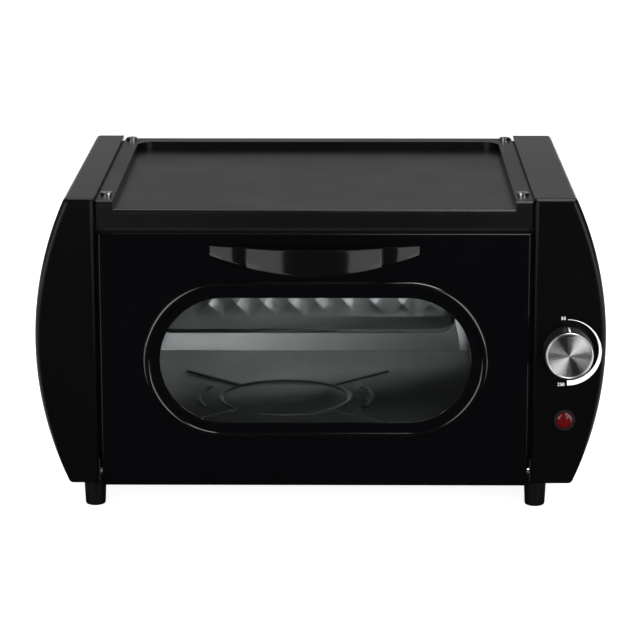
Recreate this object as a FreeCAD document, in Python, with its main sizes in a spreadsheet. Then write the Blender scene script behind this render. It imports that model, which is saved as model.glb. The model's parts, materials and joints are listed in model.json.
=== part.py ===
import FreeCAD, Part
import Sketcher
import math
import os

from FreeCAD import Placement, Rotation, Vector

# An electric tandoor: a countertop oven with a drop-down front door, a shallow griddle on
# top, and its controls in the right side cover. X is to the right, Y to the back, Z up.
# The origin is on the table, under the middle of the box that the whole oven fills.

doc = FreeCAD.newDocument("ElectricTandoor")
sheet = doc.addObject("Spreadsheet::Sheet", "Sizes")
nodes = []

# Driving dimensions in millimetres. Heights are above the table, "half" widths are from the
# middle of the oven body, and depths run back from the front face of the side covers.
DRIVING_SIZES = [
    ("middle_x", -5, "middle of the oven body, set left because the right cover is wider"),
    ("front_y", -148, "front face of the side covers"),
    ("sheet_wall", 0.8, "steel sheet of the casing, cavity and door"),
    ("griddle_wall", 1.5, "sheet of the griddle"),
    ("cover_depth", 320, "side cover, front to back"),
    ("cover_top", 271, "top of the side covers"),
    ("cover_bottom", 24.4, "underside of the side covers, on the feet"),
    ("cover_inner", 183, "half width between the two side covers"),
    ("left_bulge", 52, "widest reach of the left cover from its inner face"),
    ("right_bulge", 62, "widest reach of the right cover from its inner face"),
    ("bulge_radius", 295, "radius of the curved outer wall of a cover"),
    ("bulge_height", 147.7, "height of the widest point of a cover"),
    ("cover_wall", 2.5, "moulded wall of a cover"),
    ("cover_round", 4.5, "rounding of a cover's outer edges"),
    ("griddle_top", 268, "top of the griddle's flat rim"),
    ("griddle_half", 181.6, "half width of the griddle"),
    ("griddle_front", 5, "front face of the griddle's apron"),
    ("griddle_back", 318, "rear edge of the griddle"),
    ("apron_bottom", 245.5, "lower edge of the apron"),
    ("pan_half", 168, "half width of the griddle's pan"),
    ("pan_floor", 261, "top of the pan's floor"),
    ("pan_back", 298, "rear wall of the pan"),
    ("pan_corner", 16, "rear corner radius of the pan"),
    ("fold_round", 4, "rounding where the griddle folds down at the front"),
    ("griddle_screw_half", 175, "half spacing of the griddle screws across"),
    ("griddle_screw_front", 33, "front pair of griddle screws"),
    ("griddle_screw_back", 309, "rear pair of griddle screws"),
    ("casing_half", 183, "half width over the two casing panels"),
    ("casing_flange", 13, "width of a casing panel's folded edges"),
    ("casing_bottom", 26, "underside of the base pan and casing"),
    ("casing_back", 312, "inner face of the back panel"),
    ("frame_front", 13.8, "front face of the frame behind the door"),
    ("frame_bottom", 48.8, "underside of the frame's lower fold"),
    ("frame_top", 259, "top of the frame, under the griddle"),
    ("base_front", 24, "front wall of the base pan"),
    ("cavity_left", 165, "cavity's left wall, left of the middle"),
    ("cavity_right", 142, "cavity's right wall, right of the middle"),
    ("cavity_back", 287, "front face of the cavity's back wall"),
    ("cavity_sill", 70, "top of the cavity's floor"),
    ("cavity_lintel", 236, "top edge of the opening in the front frame"),
    ("cavity_ceiling", 240, "underside of the cavity's roof"),
    ("stud_pitch", 26.1, "pitch of the pyramids pressed into the back wall"),
    ("stud_base", 22, "side of a pyramid at its foot"),
    ("stud_proud", 4, "reach of a pyramid from the wall"),
    ("stud_left", 129.3, "first column of pyramids, left of the middle"),
    ("stud_row", 116.3, "height of the lowest row of pyramids"),
    ("emboss_width", 5, "width of the ribs pressed into the cavity floor"),
    ("emboss_proud", 1.6, "height of those ribs"),
    ("emboss_ring", 60, "radius of the ring pressed into the cavity floor"),
    ("emboss_left", 27, "centre of that ring, left of the middle"),
    ("emboss_back", 115, "centre of that ring, from the front"),
    ("heater_radius", 4, "heating rod"),
    ("heater_pin", 1.5, "cold end of a heating rod"),
    ("heater_front", 90, "front heating rods"),
    ("heater_rear", 215, "rear heating rods"),
    ("heater_low", 50, "heating rods under the cavity floor"),
    ("heater_high", 222, "heating rods under the roof"),
    ("door_half", 180.3, "half width of the door"),
    ("door_bottom", 23, "lower edge of the door"),
    ("door_top", 241.5, "upper edge of the door"),
    ("door_depth", 12, "thickness of the door"),
    ("door_round", 2, "rounding of the door's front edges"),
    ("window_shift", 1, "middle of the window, right of the oven's middle"),
    ("window_height", 132.6, "middle of the window above the table"),
    ("window_half", 131, "half width of the window opening"),
    ("window_radius", 54, "rounded end of the window opening"),
    ("bead_reach", 13.6, "outer edge of the raised bead beyond the opening"),
    ("bead_width", 4.6, "width of the raised bead"),
    ("bead_proud", 1.4, "height of the raised bead"),
    ("glass_lap", 7, "how far the pane reaches behind the door panel"),
    ("glass_thick", 4, "window pane"),
    ("gasket_thick", 0.8, "gasket between door panel and pane"),
    ("hinge_depth", 6, "door hinge axis from the front face"),
    ("hinge_height", 34, "door hinge axis above the table"),
    ("pin_radius", 2.5, "hinge pin"),
    ("running_gap", 0.05, "clearance round a turning pin or shaft"),
    ("handle_half", 84, "half width of the handle"),
    ("grip_half", 57, "half width of the grip between the handle's ends"),
    ("handle_proud", 24, "how far the handle stands out from the door"),
    ("grip_gap", 11, "finger gap behind the middle of the grip"),
    ("handle_top", 231, "upper edge of the handle"),
    ("handle_low", 207, "lowest point of the handle, in the middle"),
    ("handle_end_low", 223.5, "lower edge of the handle at its ends"),
    ("handle_round", 2.5, "rounding of the handle's edges"),
    ("handle_screw_half", 70, "half spacing of the handle screws"),
    ("dial_x", 212.5, "knob axis, right of the middle"),
    ("dial_height", 142, "knob axis above the table"),
    ("knob_radius", 20.7, "knob at its skirt"),
    ("knob_front", 20, "face of the knob, in front of the cover"),
    ("knob_gap", 1, "gap between the knob and the cover"),
    ("cap_radius", 16.5, "metal disc on the knob"),
    ("shaft_radius", 3, "thermostat shaft"),
    ("lamp_x", 211, "pilot lamp axis, right of the middle"),
    ("lamp_height", 81.6, "pilot lamp axis above the table"),
    ("lamp_radius", 7, "pilot lamp lens"),
    ("bezel_radius", 9, "ring round the pilot lamp"),
    ("foot_half", 188.6, "half spacing of the feet across"),
    ("foot_front", 24, "front feet"),
    ("foot_back", 296, "rear feet"),
    ("foot_radius", 8.6, "foot where it meets the table"),
    ("foot_top_radius", 9.6, "foot where it meets the cover"),
]

# Fixed details in millimetres, measured in the same way.
SHANK = 1.7
SHANK_HOLE = 1.8
THICK_SHANK = 2
THICK_SHANK_HOLE = 2.1
COVER_SCREW_DEPTHS = (38, 304)
COVER_SCREW_HEIGHTS = (60, 235)
COVER_OPENING_DEPTHS = (50, 290)
COVER_OPENING_HEIGHTS = (40, 250)
HINGE_TAB = (24, 44)
HINGE_EAR_HEIGHTS = (26.5, 46.5)
HINGE_TAB_HEIGHTS = (28, 48)
HINGE_SCREW_DEPTHS = (33, 40)
HINGE_SCREW_HEIGHT = 38
HINGE_PIN_END = 166
WASHER_RADIUS = 4.5
BACK_SCREW_HALF = 176
BACK_SCREW_HEIGHTS = (50, 146, 240)
GLAND = (150, 50)
WIRE_HOLES = [(186, 222, 3), (270, 50, 5), (150, 130, 5)]
BASE_SLOT = {"left": -140, "front": 90, "width": 5, "length": 50, "pitch": 38, "row": 110}
BACK_SLOT = {"left": -134.5, "foot": 128, "width": 9, "height": 36, "pitch": 20, "row": 60}
LEDGE_WIDTH = 12
LEDGE_DROP = 3.4
FLOOR_ARM = 66
ROD_ENDS = (-176, 153)
ROD_PIN = 8
INSULATOR_STARTS = (-172, 137)
INSULATOR_RADIUS = 7
INSULATOR_LENGTH = 12
THERMOSTAT_FRONT = 14
THERMOSTAT_DEPTH = 26
THERMOSTAT_HALF = 17
BRACKET_HALF = 26
LENS_PROUD = 3.5
BEZEL_PROUD = 1.6
FOOT_SCREW_SEAT = 12
HANDLE_SCREW_HEIGHT = 225.5
DOOR_SCREW_HALF = 163
DOOR_SCREW_HEIGHTS = (60, 108, 156, 216)
RAIL_HALVES = (150, 176)
RAIL_HEIGHTS = (25, 236)
BUSH_RADIUS = 3.5
BUSH_END = 160


class Size:
    """A length that carries its value and the sheet formula that gives it."""

    def __init__(self, value, formula):
        self.value = float(value)
        self.formula = formula

    def __add__(self, other):
        other = as_size(other)
        return Size(self.value + other.value, f"({self.formula} + {other.formula})")

    def __sub__(self, other):
        other = as_size(other)
        return Size(self.value - other.value, f"({self.formula} - {other.formula})")

    def __mul__(self, factor):
        factor = as_size(factor)
        return Size(self.value * factor.value, f"({self.formula} * {factor.formula})")

    def __radd__(self, other):
        return as_size(other) + self

    def __rsub__(self, other):
        return as_size(other) - self

    def __rmul__(self, factor):
        return as_size(factor) * self

    def __neg__(self):
        return Size(-self.value, f"(0 - {self.formula})")


def as_size(number):
    """Give a plain number the same form as a value of the sheet."""
    if isinstance(number, Size):
        return number
    return Size(number, f"({float(number)})")


def fill_sheet():
    """Write the driving dimensions into the sheet and return them by name."""
    sizes = {}
    for row, (alias, value, note) in enumerate(DRIVING_SIZES, start=1):
        sheet.set(f"A{row}", alias)
        sheet.set(f"B{row}", str(value))
        sheet.set(f"C{row}", note)
        sheet.setAlias(f"B{row}", alias)
        sizes[alias] = Size(value, f"Sizes.{alias}")
    doc.recompute()
    return sizes


S = fill_sheet()
AXIS = {"X": Vector(1, 0, 0), "Y": Vector(0, 1, 0), "Z": Vector(0, 0, 1)}


def across(distance):
    """X of a point that lies this far right of the oven's middle."""
    return S["middle_x"] + distance


def back(distance):
    """Y of a point that lies this far behind the covers' front face."""
    return S["front_y"] + distance


def bind(thing, target, size):
    """Tie one property of a document object to the sheet."""
    thing.setExpression(target, as_size(size).formula)


def place(thing, x, y, z):
    """Tie the position of a document object to the sheet."""
    bind(thing, "Placement.Base.x", x)
    bind(thing, "Placement.Base.y", y)
    bind(thing, "Placement.Base.z", z)


def node(thing, label):
    """Keep a finished sub-part under the name of its file."""
    thing.Label = label
    nodes.append(thing)
    return thing


def box(name, x, y, z):
    """A block between two values on each axis."""
    piece = doc.addObject("Part::Box", name)
    bind(piece, "Length", x[1] - x[0])
    bind(piece, "Width", y[1] - y[0])
    bind(piece, "Height", z[1] - z[0])
    place(piece, x[0], y[0], z[0])
    return piece


def rod(name, axis, radius, start, length):
    """A round bar that runs along one axis from its start point."""
    piece = doc.addObject("Part::Cylinder", name)
    piece.Placement = Placement(Vector(), Rotation(AXIS["Z"], AXIS[axis]))
    bind(piece, "Radius", radius)
    bind(piece, "Height", length)
    place(piece, *start)
    return piece


def fuse(name, shapes):
    """One solid made of several."""
    piece = doc.addObject("Part::MultiFuse", name)
    piece.Shapes = shapes
    piece.Refine = True
    return piece


def cut(name, base, tools):
    """A solid with others taken out of it."""
    piece = doc.addObject("Part::Cut", name)
    piece.Base = base
    piece.Tool = tools[0] if len(tools) == 1 else fuse(name + "_holes", tools)
    return piece


def group(name, solids):
    """Separate solids that share one node."""
    piece = doc.addObject("Part::Compound", name)
    piece.Links = solids
    return piece


def tube(name, axis, outer, inner, start, length):
    """A round sleeve with a bore right through."""
    wall = rod(name + "_wall", axis, outer, start, length)
    bore = rod(name + "_bore", axis, inner, start, length)
    return cut(name, wall, [bore])


def screw(name, axis, way, head, shank, seat, length, head_height=2.4):
    """A flat-topped screw with a cross recess. Its head stands on the seat, against its way."""
    slot_width = 1.0
    slot_depth = head_height * 0.6
    lengthwise = "XYZ".index(axis)
    sideways = [number for number in range(3) if number != lengthwise]
    head_start = list(seat)
    shank_start = list(seat)
    if way > 0:
        head_start[lengthwise] = head_start[lengthwise] - head_height
    else:
        shank_start[lengthwise] = shank_start[lengthwise] - length
    pieces = [
        rod(name + "_head", axis, head, head_start, head_height),
        rod(name + "_shank", axis, shank, shank_start, length),
    ]
    body = fuse(name + "_blank", pieces)
    top = seat[lengthwise] - way * head_height
    recess = []
    for number in sideways:
        halves = [slot_width * 0.5] * 3
        halves[number] = head * 0.6
        ranges = [(centre - half, centre + half) for centre, half in zip(seat, halves)]
        ranges[lengthwise] = (top - slot_depth, top + slot_depth)
        recess.append(box(f"{name}_slot_{number}", *ranges))
    return cut(name, body, recess)


def new_body(name, x, y, z):
    """An empty body whose own origin is at this point."""
    body = doc.addObject("PartDesign::Body", name)
    place(body, x, y, z)
    return body


def new_sketch(body, name, role, offset):
    """A sketch parallel to one of the body's own planes."""
    sketch = body.newObject("Sketcher::SketchObject", name)
    plane = [item for item in body.Origin.OriginFeatures if item.Role == role][0]
    sketch.AttachmentSupport = (plane, [""])
    sketch.MapMode = "FlatFace"
    bind(sketch, "AttachmentOffset.Base.z", offset)
    return sketch


def fix_point(sketch, geometry, point, x, y):
    """Hold a point of a sketch at sheet distances from the sketch's origin."""
    for kind, size in (("DistanceX", x), ("DistanceY", y)):
        if size is None:
            continue
        size = as_size(size)
        index = sketch.addConstraint(
            Sketcher.Constraint(kind, -1, 1, geometry, point, size.value)
        )
        bind(sketch, f"Constraints[{index}]", size)


def fix_radius(sketch, geometry, radius):
    """Hold the radius of an arc or circle at a sheet value."""
    radius = as_size(radius)
    index = sketch.addConstraint(Sketcher.Constraint("Radius", geometry, radius.value))
    bind(sketch, f"Constraints[{index}]", radius)


def draw_polygon(sketch, corners):
    """A closed outline of straight lines through corners that the sheet sets."""
    corners = [(as_size(x), as_size(y)) for x, y in corners]
    spots = [Vector(x.value, y.value, 0) for x, y in corners]
    first = len(sketch.Geometry)
    count = len(spots)
    for number in range(count):
        sketch.addGeometry(Part.LineSegment(spots[number], spots[(number + 1) % count]))
    for number in range(count):
        following = first + (number + 1) % count
        sketch.addConstraint(Sketcher.Constraint("Coincident", first + number, 2, following, 1))
    for number, (x, y) in enumerate(corners):
        fix_point(sketch, first + number, 1, x, y)


def draw_rectangle(sketch, x, y):
    """A closed rectangle between two values each way."""
    draw_polygon(sketch, [(x[0], y[0]), (x[1], y[0]), (x[1], y[1]), (x[0], y[1])])


def draw_circle(sketch, x, y, radius):
    """A circle whose centre and radius the sheet sets."""
    x, y, radius = as_size(x), as_size(y), as_size(radius)
    centre = Vector(x.value, y.value, 0)
    circle = sketch.addGeometry(Part.Circle(centre, Vector(0, 0, 1), radius.value))
    fix_point(sketch, circle, 3, x, y)
    fix_radius(sketch, circle, radius)


def draw_stadium(sketch, x, y, half, radius):
    """A slot shape with round ends, whose middle the sheet sets."""
    x, y, half, radius = as_size(x), as_size(y), as_size(half), as_size(radius)
    reach = half - radius
    first = len(sketch.Geometry)
    for side, start in ((1, -90), (-1, 90)):
        centre = Vector(x.value + side * reach.value, y.value, 0)
        circle = Part.Circle(centre, Vector(0, 0, 1), radius.value)
        turn = math.radians(start)
        sketch.addGeometry(Part.ArcOfCircle(circle, turn, turn + math.pi))
    right, left = first, first + 1
    for low, high in ((right, left), (left, right)):
        start = sketch.getPoint(low, 2)
        end = sketch.getPoint(high, 1)
        line = sketch.addGeometry(Part.LineSegment(start, end))
        sketch.addConstraint(Sketcher.Constraint("Coincident", low, 2, line, 1))
        sketch.addConstraint(Sketcher.Constraint("Coincident", line, 2, high, 1))
    for arc, side in ((right, 1), (left, -1)):
        fix_point(sketch, arc, 3, x + side * reach, y)
        fix_radius(sketch, arc, radius)
        for end in (1, 2):
            sketch.addConstraint(Sketcher.Constraint("Vertical", arc, end, arc, 3))


def pad(body, sketch, length, backwards=False):
    """Grow material from a sketch."""
    feature = body.newObject("PartDesign::Pad", sketch.Name + "_pad")
    feature.Profile = sketch
    feature.Reversed = backwards
    bind(feature, "Length", length)
    doc.recompute()
    return feature


def pocket(body, sketch, length, backwards=False):
    """Take material away from a sketch, and see that some went."""
    before = body.Shape.Volume
    feature = body.newObject("PartDesign::Pocket", sketch.Name + "_pocket")
    feature.Profile = sketch
    feature.Reversed = backwards
    bind(feature, "Length", length)
    doc.recompute()
    if body.Shape.Volume > before - 1e-3:
        raise RuntimeError(f"{sketch.Name} cuts nothing from {body.Name}")
    return feature


def soften(body, name, radius, wanted):
    """Round the edges of a body's tip whose middle point passes a test."""
    tip = body.Tip
    picked = []
    for number, edge in enumerate(tip.Shape.Edges, start=1):
        middle = edge.valueAt((edge.FirstParameter + edge.LastParameter) / 2)
        if wanted(middle, edge):
            picked.append(f"Edge{number}")
    feature = body.newObject("PartDesign::Fillet", name)
    feature.Base = (tip, picked)
    bind(feature, "Radius", radius)
    doc.recompute()
    return feature


def draw_cover_outline(sketch, side, bulge, inset, inner):
    """The D-shaped end view of a cover, drawn in X and Z from the oven's middle."""
    radius = S["bulge_radius"] - inset
    top = S["cover_top"] - inset
    bottom = S["cover_bottom"] + inset
    centre_x = side * (S["cover_inner"] + bulge - S["bulge_radius"])
    centre_z = S["bulge_height"]
    ends = []
    for height in (top, bottom):
        rise = height.value - centre_z.value
        run = math.sqrt(radius.value ** 2 - rise ** 2)
        ends.append(Vector(centre_x.value + side * run, height.value, 0))
    widest = Vector(centre_x.value + side * radius.value, centre_z.value, 0)
    first, last = (ends[1], ends[0]) if side > 0 else (ends[0], ends[1])
    arc = sketch.addGeometry(Part.Arc(first, widest, last))
    inner_low = Vector(side * inner.value, bottom.value, 0)
    inner_high = Vector(side * inner.value, top.value, 0)
    low_end, high_end = (1, 2) if side > 0 else (2, 1)
    roof = sketch.addGeometry(Part.LineSegment(ends[0], inner_high))
    wall = sketch.addGeometry(Part.LineSegment(inner_high, inner_low))
    floor = sketch.addGeometry(Part.LineSegment(inner_low, ends[1]))
    sketch.addConstraint(Sketcher.Constraint("Coincident", arc, high_end, roof, 1))
    sketch.addConstraint(Sketcher.Constraint("Coincident", roof, 2, wall, 1))
    sketch.addConstraint(Sketcher.Constraint("Coincident", wall, 2, floor, 1))
    sketch.addConstraint(Sketcher.Constraint("Coincident", floor, 2, arc, low_end))
    fix_radius(sketch, arc, radius)
    fix_point(sketch, arc, 3, centre_x, centre_z)
    fix_point(sketch, roof, 1, None, top)
    fix_point(sketch, floor, 2, None, bottom)
    fix_point(sketch, wall, 1, side * inner, top)
    fix_point(sketch, wall, 2, side * inner, bottom)


def make_side_cover(name, side, bulge, front_holes):
    """A hollow moulded cover, open to the casing and closed on its other sides."""
    wall = S["cover_wall"]
    depth = S["cover_depth"]
    body = new_body(name, across(0), back(0), 0)
    outline = new_sketch(body, name + "_outline", "XZ_Plane", 0)
    draw_cover_outline(outline, side, bulge, as_size(0), S["cover_inner"])
    pad(body, outline, depth, backwards=True)

    def outer_edge(middle, edge):
        off_inner_face = side * middle.x > S["cover_inner"].value + 1
        return off_inner_face or middle.y < 1

    soften(body, name + "_rounding", S["cover_round"], outer_edge)

    hollow = new_sketch(body, name + "_hollow", "XZ_Plane", -wall)
    draw_cover_outline(hollow, side, bulge, wall, S["cover_inner"] + wall)
    pocket(body, hollow, depth - 2 * wall)

    opening = new_sketch(body, name + "_opening", "YZ_Plane", side * (S["cover_inner"] - 1))
    draw_rectangle(
        opening,
        [as_size(depth_back) for depth_back in COVER_OPENING_DEPTHS],
        [as_size(height) for height in COVER_OPENING_HEIGHTS],
    )
    pocket(body, opening, wall + 2, backwards=side > 0)

    if front_holes:
        holes = new_sketch(body, name + "_front_holes", "XZ_Plane", as_size(1))
        for x, z, radius in front_holes:
            draw_circle(holes, x, z, radius)
        pocket(body, holes, wall + 2)

    feet = new_sketch(body, name + "_foot_holes", "XY_Plane", S["cover_bottom"] - 1)
    for depth_back in (S["foot_front"], S["foot_back"]):
        draw_circle(feet, side * S["foot_half"], depth_back, THICK_SHANK_HOLE)
    pocket(body, feet, wall + 2, backwards=True)

    fixings = new_sketch(body, name + "_fixings", "YZ_Plane", side * (S["cover_inner"] - 1))
    for depth_back in COVER_SCREW_DEPTHS:
        for height in COVER_SCREW_HEIGHTS:
            draw_circle(fixings, as_size(depth_back), as_size(height), SHANK_HOLE)
    pocket(body, fixings, wall + 2, backwards=side > 0)
    return node(body, name)


def make_covers():
    """The two moulded side covers and the screws that hold them to the casing."""
    dial_hole = (S["dial_x"], S["dial_height"], S["shaft_radius"] + 0.6)
    lamp_hole = (S["lamp_x"], S["lamp_height"], S["lamp_radius"] + 0.1)
    make_side_cover("left_side_cover", -1, S["left_bulge"], [])
    make_side_cover("right_side_cover", 1, S["right_bulge"], [dial_hole, lamp_hole])
    screws = []
    for side in (-1, 1):
        for depth_back in COVER_SCREW_DEPTHS:
            for height in COVER_SCREW_HEIGHTS:
                seat = (
                    across(side * (S["casing_half"] - S["sheet_wall"])),
                    back(depth_back),
                    as_size(height),
                )
                name = f"cover_screw_{len(screws)}"
                screws.append(screw(name, "X", side, 3.4, SHANK, seat, 9))
    node(group("cover_screws", screws), "cover_screws")


def draw_pan(sketch, half, rear, corner, front, outer=None):
    """A pan's outline from above, with round rear corners: the pan itself, or what is round it."""
    half, rear, corner, front = as_size(half), as_size(rear), as_size(corner), as_size(front)
    x, y, r = half.value, rear.value, corner.value
    slant = r * math.sqrt(0.5)
    middle_y = y - r + slant
    sketch.addGeometry([
        Part.LineSegment(Vector(-x, front.value, 0), Vector(-x, y - r, 0)),
        Part.Arc(Vector(-x, y - r, 0), Vector(-x + r - slant, middle_y, 0), Vector(-x + r, y, 0)),
        Part.LineSegment(Vector(-x + r, y, 0), Vector(x - r, y, 0)),
        Part.Arc(Vector(x - r, y, 0), Vector(x - r + slant, middle_y, 0), Vector(x, y - r, 0)),
        Part.LineSegment(Vector(x, y - r, 0), Vector(x, front.value, 0)),
    ])
    left, left_corner, rear_line, right_corner, right = range(5)
    # A circular arc always runs anticlockwise, so both corner arcs start at their far ends.
    for line, line_end, arc, arc_end in (
        (left, 2, left_corner, 2),
        (rear_line, 1, left_corner, 1),
        (rear_line, 2, right_corner, 2),
        (right, 1, right_corner, 1),
    ):
        sketch.addConstraint(Sketcher.Constraint("Coincident", line, line_end, arc, arc_end))
    fix_point(sketch, left, 1, -half, front)
    fix_point(sketch, right, 2, half, front)
    fix_point(sketch, left, 2, -half, rear - corner)
    fix_point(sketch, right, 1, half, rear - corner)
    fix_point(sketch, rear_line, 1, corner - half, rear)
    fix_point(sketch, rear_line, 2, half - corner, rear)
    fix_radius(sketch, left_corner, corner)
    fix_radius(sketch, right_corner, corner)
    rest = [(half, front)]
    if outer:
        outer_half, outer_rear = outer
        rest += [
            (outer_half, front),
            (outer_half, outer_rear),
            (-outer_half, outer_rear),
            (-outer_half, front),
        ]
    rest.append((-half, front))
    spots = [Vector(x.value, y.value, 0) for x, y in rest]
    previous = right
    for number in range(len(spots) - 1):
        line = sketch.addGeometry(Part.LineSegment(spots[number], spots[number + 1]))
        sketch.addConstraint(Sketcher.Constraint("Coincident", previous, 2, line, 1))
        if number:
            fix_point(sketch, line, 1, *rest[number])
        previous = line
    sketch.addConstraint(Sketcher.Constraint("Coincident", previous, 2, left, 1))


def make_griddle():
    """The pressed griddle sheet on top, its front apron, and its four screws."""
    griddle_wall = S["griddle_wall"]
    top = S["griddle_top"]
    floor = S["pan_floor"]
    half = S["griddle_half"]
    front = S["griddle_front"]
    body = new_body("griddle_plate", across(0), back(0), 0)
    blank = new_sketch(body, "griddle_blank", "XY_Plane", S["apron_bottom"])
    draw_rectangle(blank, (-half, half), (front, S["griddle_back"]))
    pad(body, blank, top - S["apron_bottom"])
    pan = new_sketch(body, "griddle_pan", "XY_Plane", top)
    draw_pan(pan, S["pan_half"], S["pan_back"], S["pan_corner"], -10)
    pocket(body, pan, top - floor)

    def front_fold(middle, edge):
        along_x = edge.BoundBox.YLength < 0.1 and edge.BoundBox.ZLength < 0.1
        at_front = abs(middle.y - front.value) < 0.1
        return along_x and at_front and middle.z > floor.value - 1

    soften(body, "griddle_fold", S["fold_round"], front_fold)

    under = new_sketch(body, "griddle_under", "XY_Plane", S["apron_bottom"])
    draw_rectangle(under, (-half - 5, half + 5), (front + griddle_wall, S["griddle_back"] + 5))
    pocket(body, under, floor - griddle_wall - S["apron_bottom"], backwards=True)
    rim = new_sketch(body, "griddle_rim_under", "XY_Plane", floor - griddle_wall)
    draw_pan(
        rim,
        S["pan_half"] + griddle_wall,
        S["pan_back"] + griddle_wall,
        S["pan_corner"] + griddle_wall,
        front + griddle_wall,
        outer=(half + 5, S["griddle_back"] + 5),
    )
    pocket(body, rim, top - floor, backwards=True)
    holes = new_sketch(body, "griddle_screw_holes", "XY_Plane", top)
    for side in (-1, 1):
        for depth_back in (S["griddle_screw_front"], S["griddle_screw_back"]):
            draw_circle(holes, side * S["griddle_screw_half"], depth_back, THICK_SHANK_HOLE)
    pocket(body, holes, 5)
    node(body, "griddle_plate")
    screws = []
    for side in (-1, 1):
        for depth_back in (S["griddle_screw_front"], S["griddle_screw_back"]):
            seat = (across(side * S["griddle_screw_half"]), back(depth_back), top)
            screws.append(screw(f"griddle_screw_{len(screws)}", "Z", -1, 5, THICK_SHANK, seat, 9))
    node(group("griddle_screws", screws), "griddle_screws")


def wide(low, high):
    """A range across, from the oven's middle."""
    return across(low), across(high)


def deep(low, high):
    """A range from front to back, from the covers' front face."""
    return back(low), back(high)


def flank(side, inner, outer):
    """A range across on one side of the oven, between two half widths."""
    return wide(inner, outer) if side > 0 else wide(-outer, -inner)


def spot(x, y, z):
    """A point given from the oven's middle, the covers' front face and the table."""
    return across(x), back(y), as_size(z)


def make_casing():
    """The sheet-steel casing: side panels, front frame, base pan and back panel."""
    wall = S["sheet_wall"]
    half = S["casing_half"]
    inside = half - wall
    low = S["casing_bottom"]
    top = S["griddle_top"] - S["griddle_wall"]
    rear = S["casing_back"]
    sill = S["frame_bottom"]
    for side, name in ((-1, "left_casing_panel"), (1, "right_casing_panel")):
        sheets = [
            box(name + "_wall", flank(side, inside, half), deep(HINGE_TAB[0] + 2, rear), (low, top)),
            box(
                name + "_front",
                flank(side, inside, half),
                deep(S["frame_front"], HINGE_TAB[0] + 2),
                (sill, top),
            ),
            box(
                name + "_rim",
                flank(side, half - S["casing_flange"], inside),
                deep(S["frame_front"] + wall, rear),
                (top - wall, top),
            ),
            box(
                name + "_fold",
                flank(side, half - S["casing_flange"], inside),
                deep(rear - wall, rear),
                (low + wall, top - wall),
            ),
        ]
        holes = []
        drill_x = flank(side, half - 5, half + 5)[0]
        for depth_back in COVER_SCREW_DEPTHS:
            for height in COVER_SCREW_HEIGHTS:
                holes.append((depth_back, height, SHANK_HOLE))
        for depth_back in HINGE_SCREW_DEPTHS:
            holes.append((depth_back, HINGE_SCREW_HEIGHT, SHANK_HOLE))
        if side > 0:
            holes += WIRE_HOLES
        drills = []
        for number, (depth_back, height, radius) in enumerate(holes):
            start = drill_x, back(depth_back), as_size(height)
            drills.append(rod(f"{name}_hole_{number}", "X", radius, start, 10))
        for depth_back in (S["griddle_screw_front"], S["griddle_screw_back"]):
            start = across(side * S["griddle_screw_half"]), back(depth_back), top - 10
            drills.append(rod(f"{name}_rim_hole_{len(drills)}", "Z", THICK_SHANK_HOLE, start, 12))
        for height in BACK_SCREW_HEIGHTS:
            start = spot(side * BACK_SCREW_HALF, rear - 5, height)
            drills.append(rod(f"{name}_fold_hole_{len(drills)}", "Y", SHANK_HOLE, start, 10))
        node(cut(name, fuse(name + "_sheets", sheets), drills), name)

    frame = fuse("front_frame_sheets", [
        box(
            "front_frame_face",
            wide(-inside, inside),
            deep(S["frame_front"], S["frame_front"] + wall),
            (sill, S["frame_top"]),
        ),
        box(
            "front_frame_fold",
            wide(-inside, inside),
            deep(S["frame_front"] + wall, S["base_front"] + wall),
            (sill, sill + wall),
        ),
    ])
    doorway = box(
        "front_frame_opening",
        wide(-S["cavity_left"], S["cavity_right"]),
        deep(S["frame_front"] - 1, S["frame_front"] + wall + 1),
        (S["cavity_sill"], S["cavity_lintel"]),
    )
    node(cut("front_frame", frame, [doorway]), "front_frame")

    pan = fuse("base_pan_sheets", [
        box("base_pan_floor", wide(-inside, inside), deep(S["base_front"], rear), (low, low + wall)),
        box(
            "base_pan_lip",
            wide(wall - inside, inside - wall),
            deep(S["base_front"], S["base_front"] + wall),
            (low + wall, sill),
        ),
    ])
    slots = []
    for row in range(2):
        for column in range(8):
            left = BASE_SLOT["left"] + BASE_SLOT["pitch"] * column
            front = BASE_SLOT["front"] + BASE_SLOT["row"] * row
            slots.append(box(
                f"base_slot_{row}_{column}",
                wide(left, left + BASE_SLOT["width"]),
                deep(front, front + BASE_SLOT["length"]),
                (low - 1, low + wall + 1),
            ))
    node(cut("base_pan", pan, slots), "base_pan")

    slots = []
    for row in range(2):
        for column in range(14):
            left = BACK_SLOT["left"] + BACK_SLOT["pitch"] * column
            foot = BACK_SLOT["foot"] + BACK_SLOT["row"] * row
            slots.append(box(
                f"back_slot_{row}_{column}",
                wide(left, left + BACK_SLOT["width"]),
                deep(rear - 1, rear + wall + 1),
                (as_size(foot), as_size(foot + BACK_SLOT["height"])),
            ))
    for side in (-1, 1):
        for height in BACK_SCREW_HEIGHTS:
            start = spot(side * BACK_SCREW_HALF, rear - 1, height)
            slots.append(rod(f"back_hole_{len(slots)}", "Y", SHANK_HOLE, start, 5))
    slots.append(rod("back_gland_hole", "Y", 6.1, spot(GLAND[0], rear - 1, GLAND[1]), 5))
    plate = box("back_plate", wide(-half, half), deep(rear, rear + wall), (low, top))
    node(cut("back_panel", plate, slots), "back_panel")

    screws = []
    for side in (-1, 1):
        for height in BACK_SCREW_HEIGHTS:
            seat = spot(side * BACK_SCREW_HALF, rear + wall, height)
            screws.append(screw(f"back_screw_{len(screws)}", "Y", -1, 3.4, SHANK, seat, 8))
    node(group("back_panel_screws", screws), "back_panel_screws")


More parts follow.
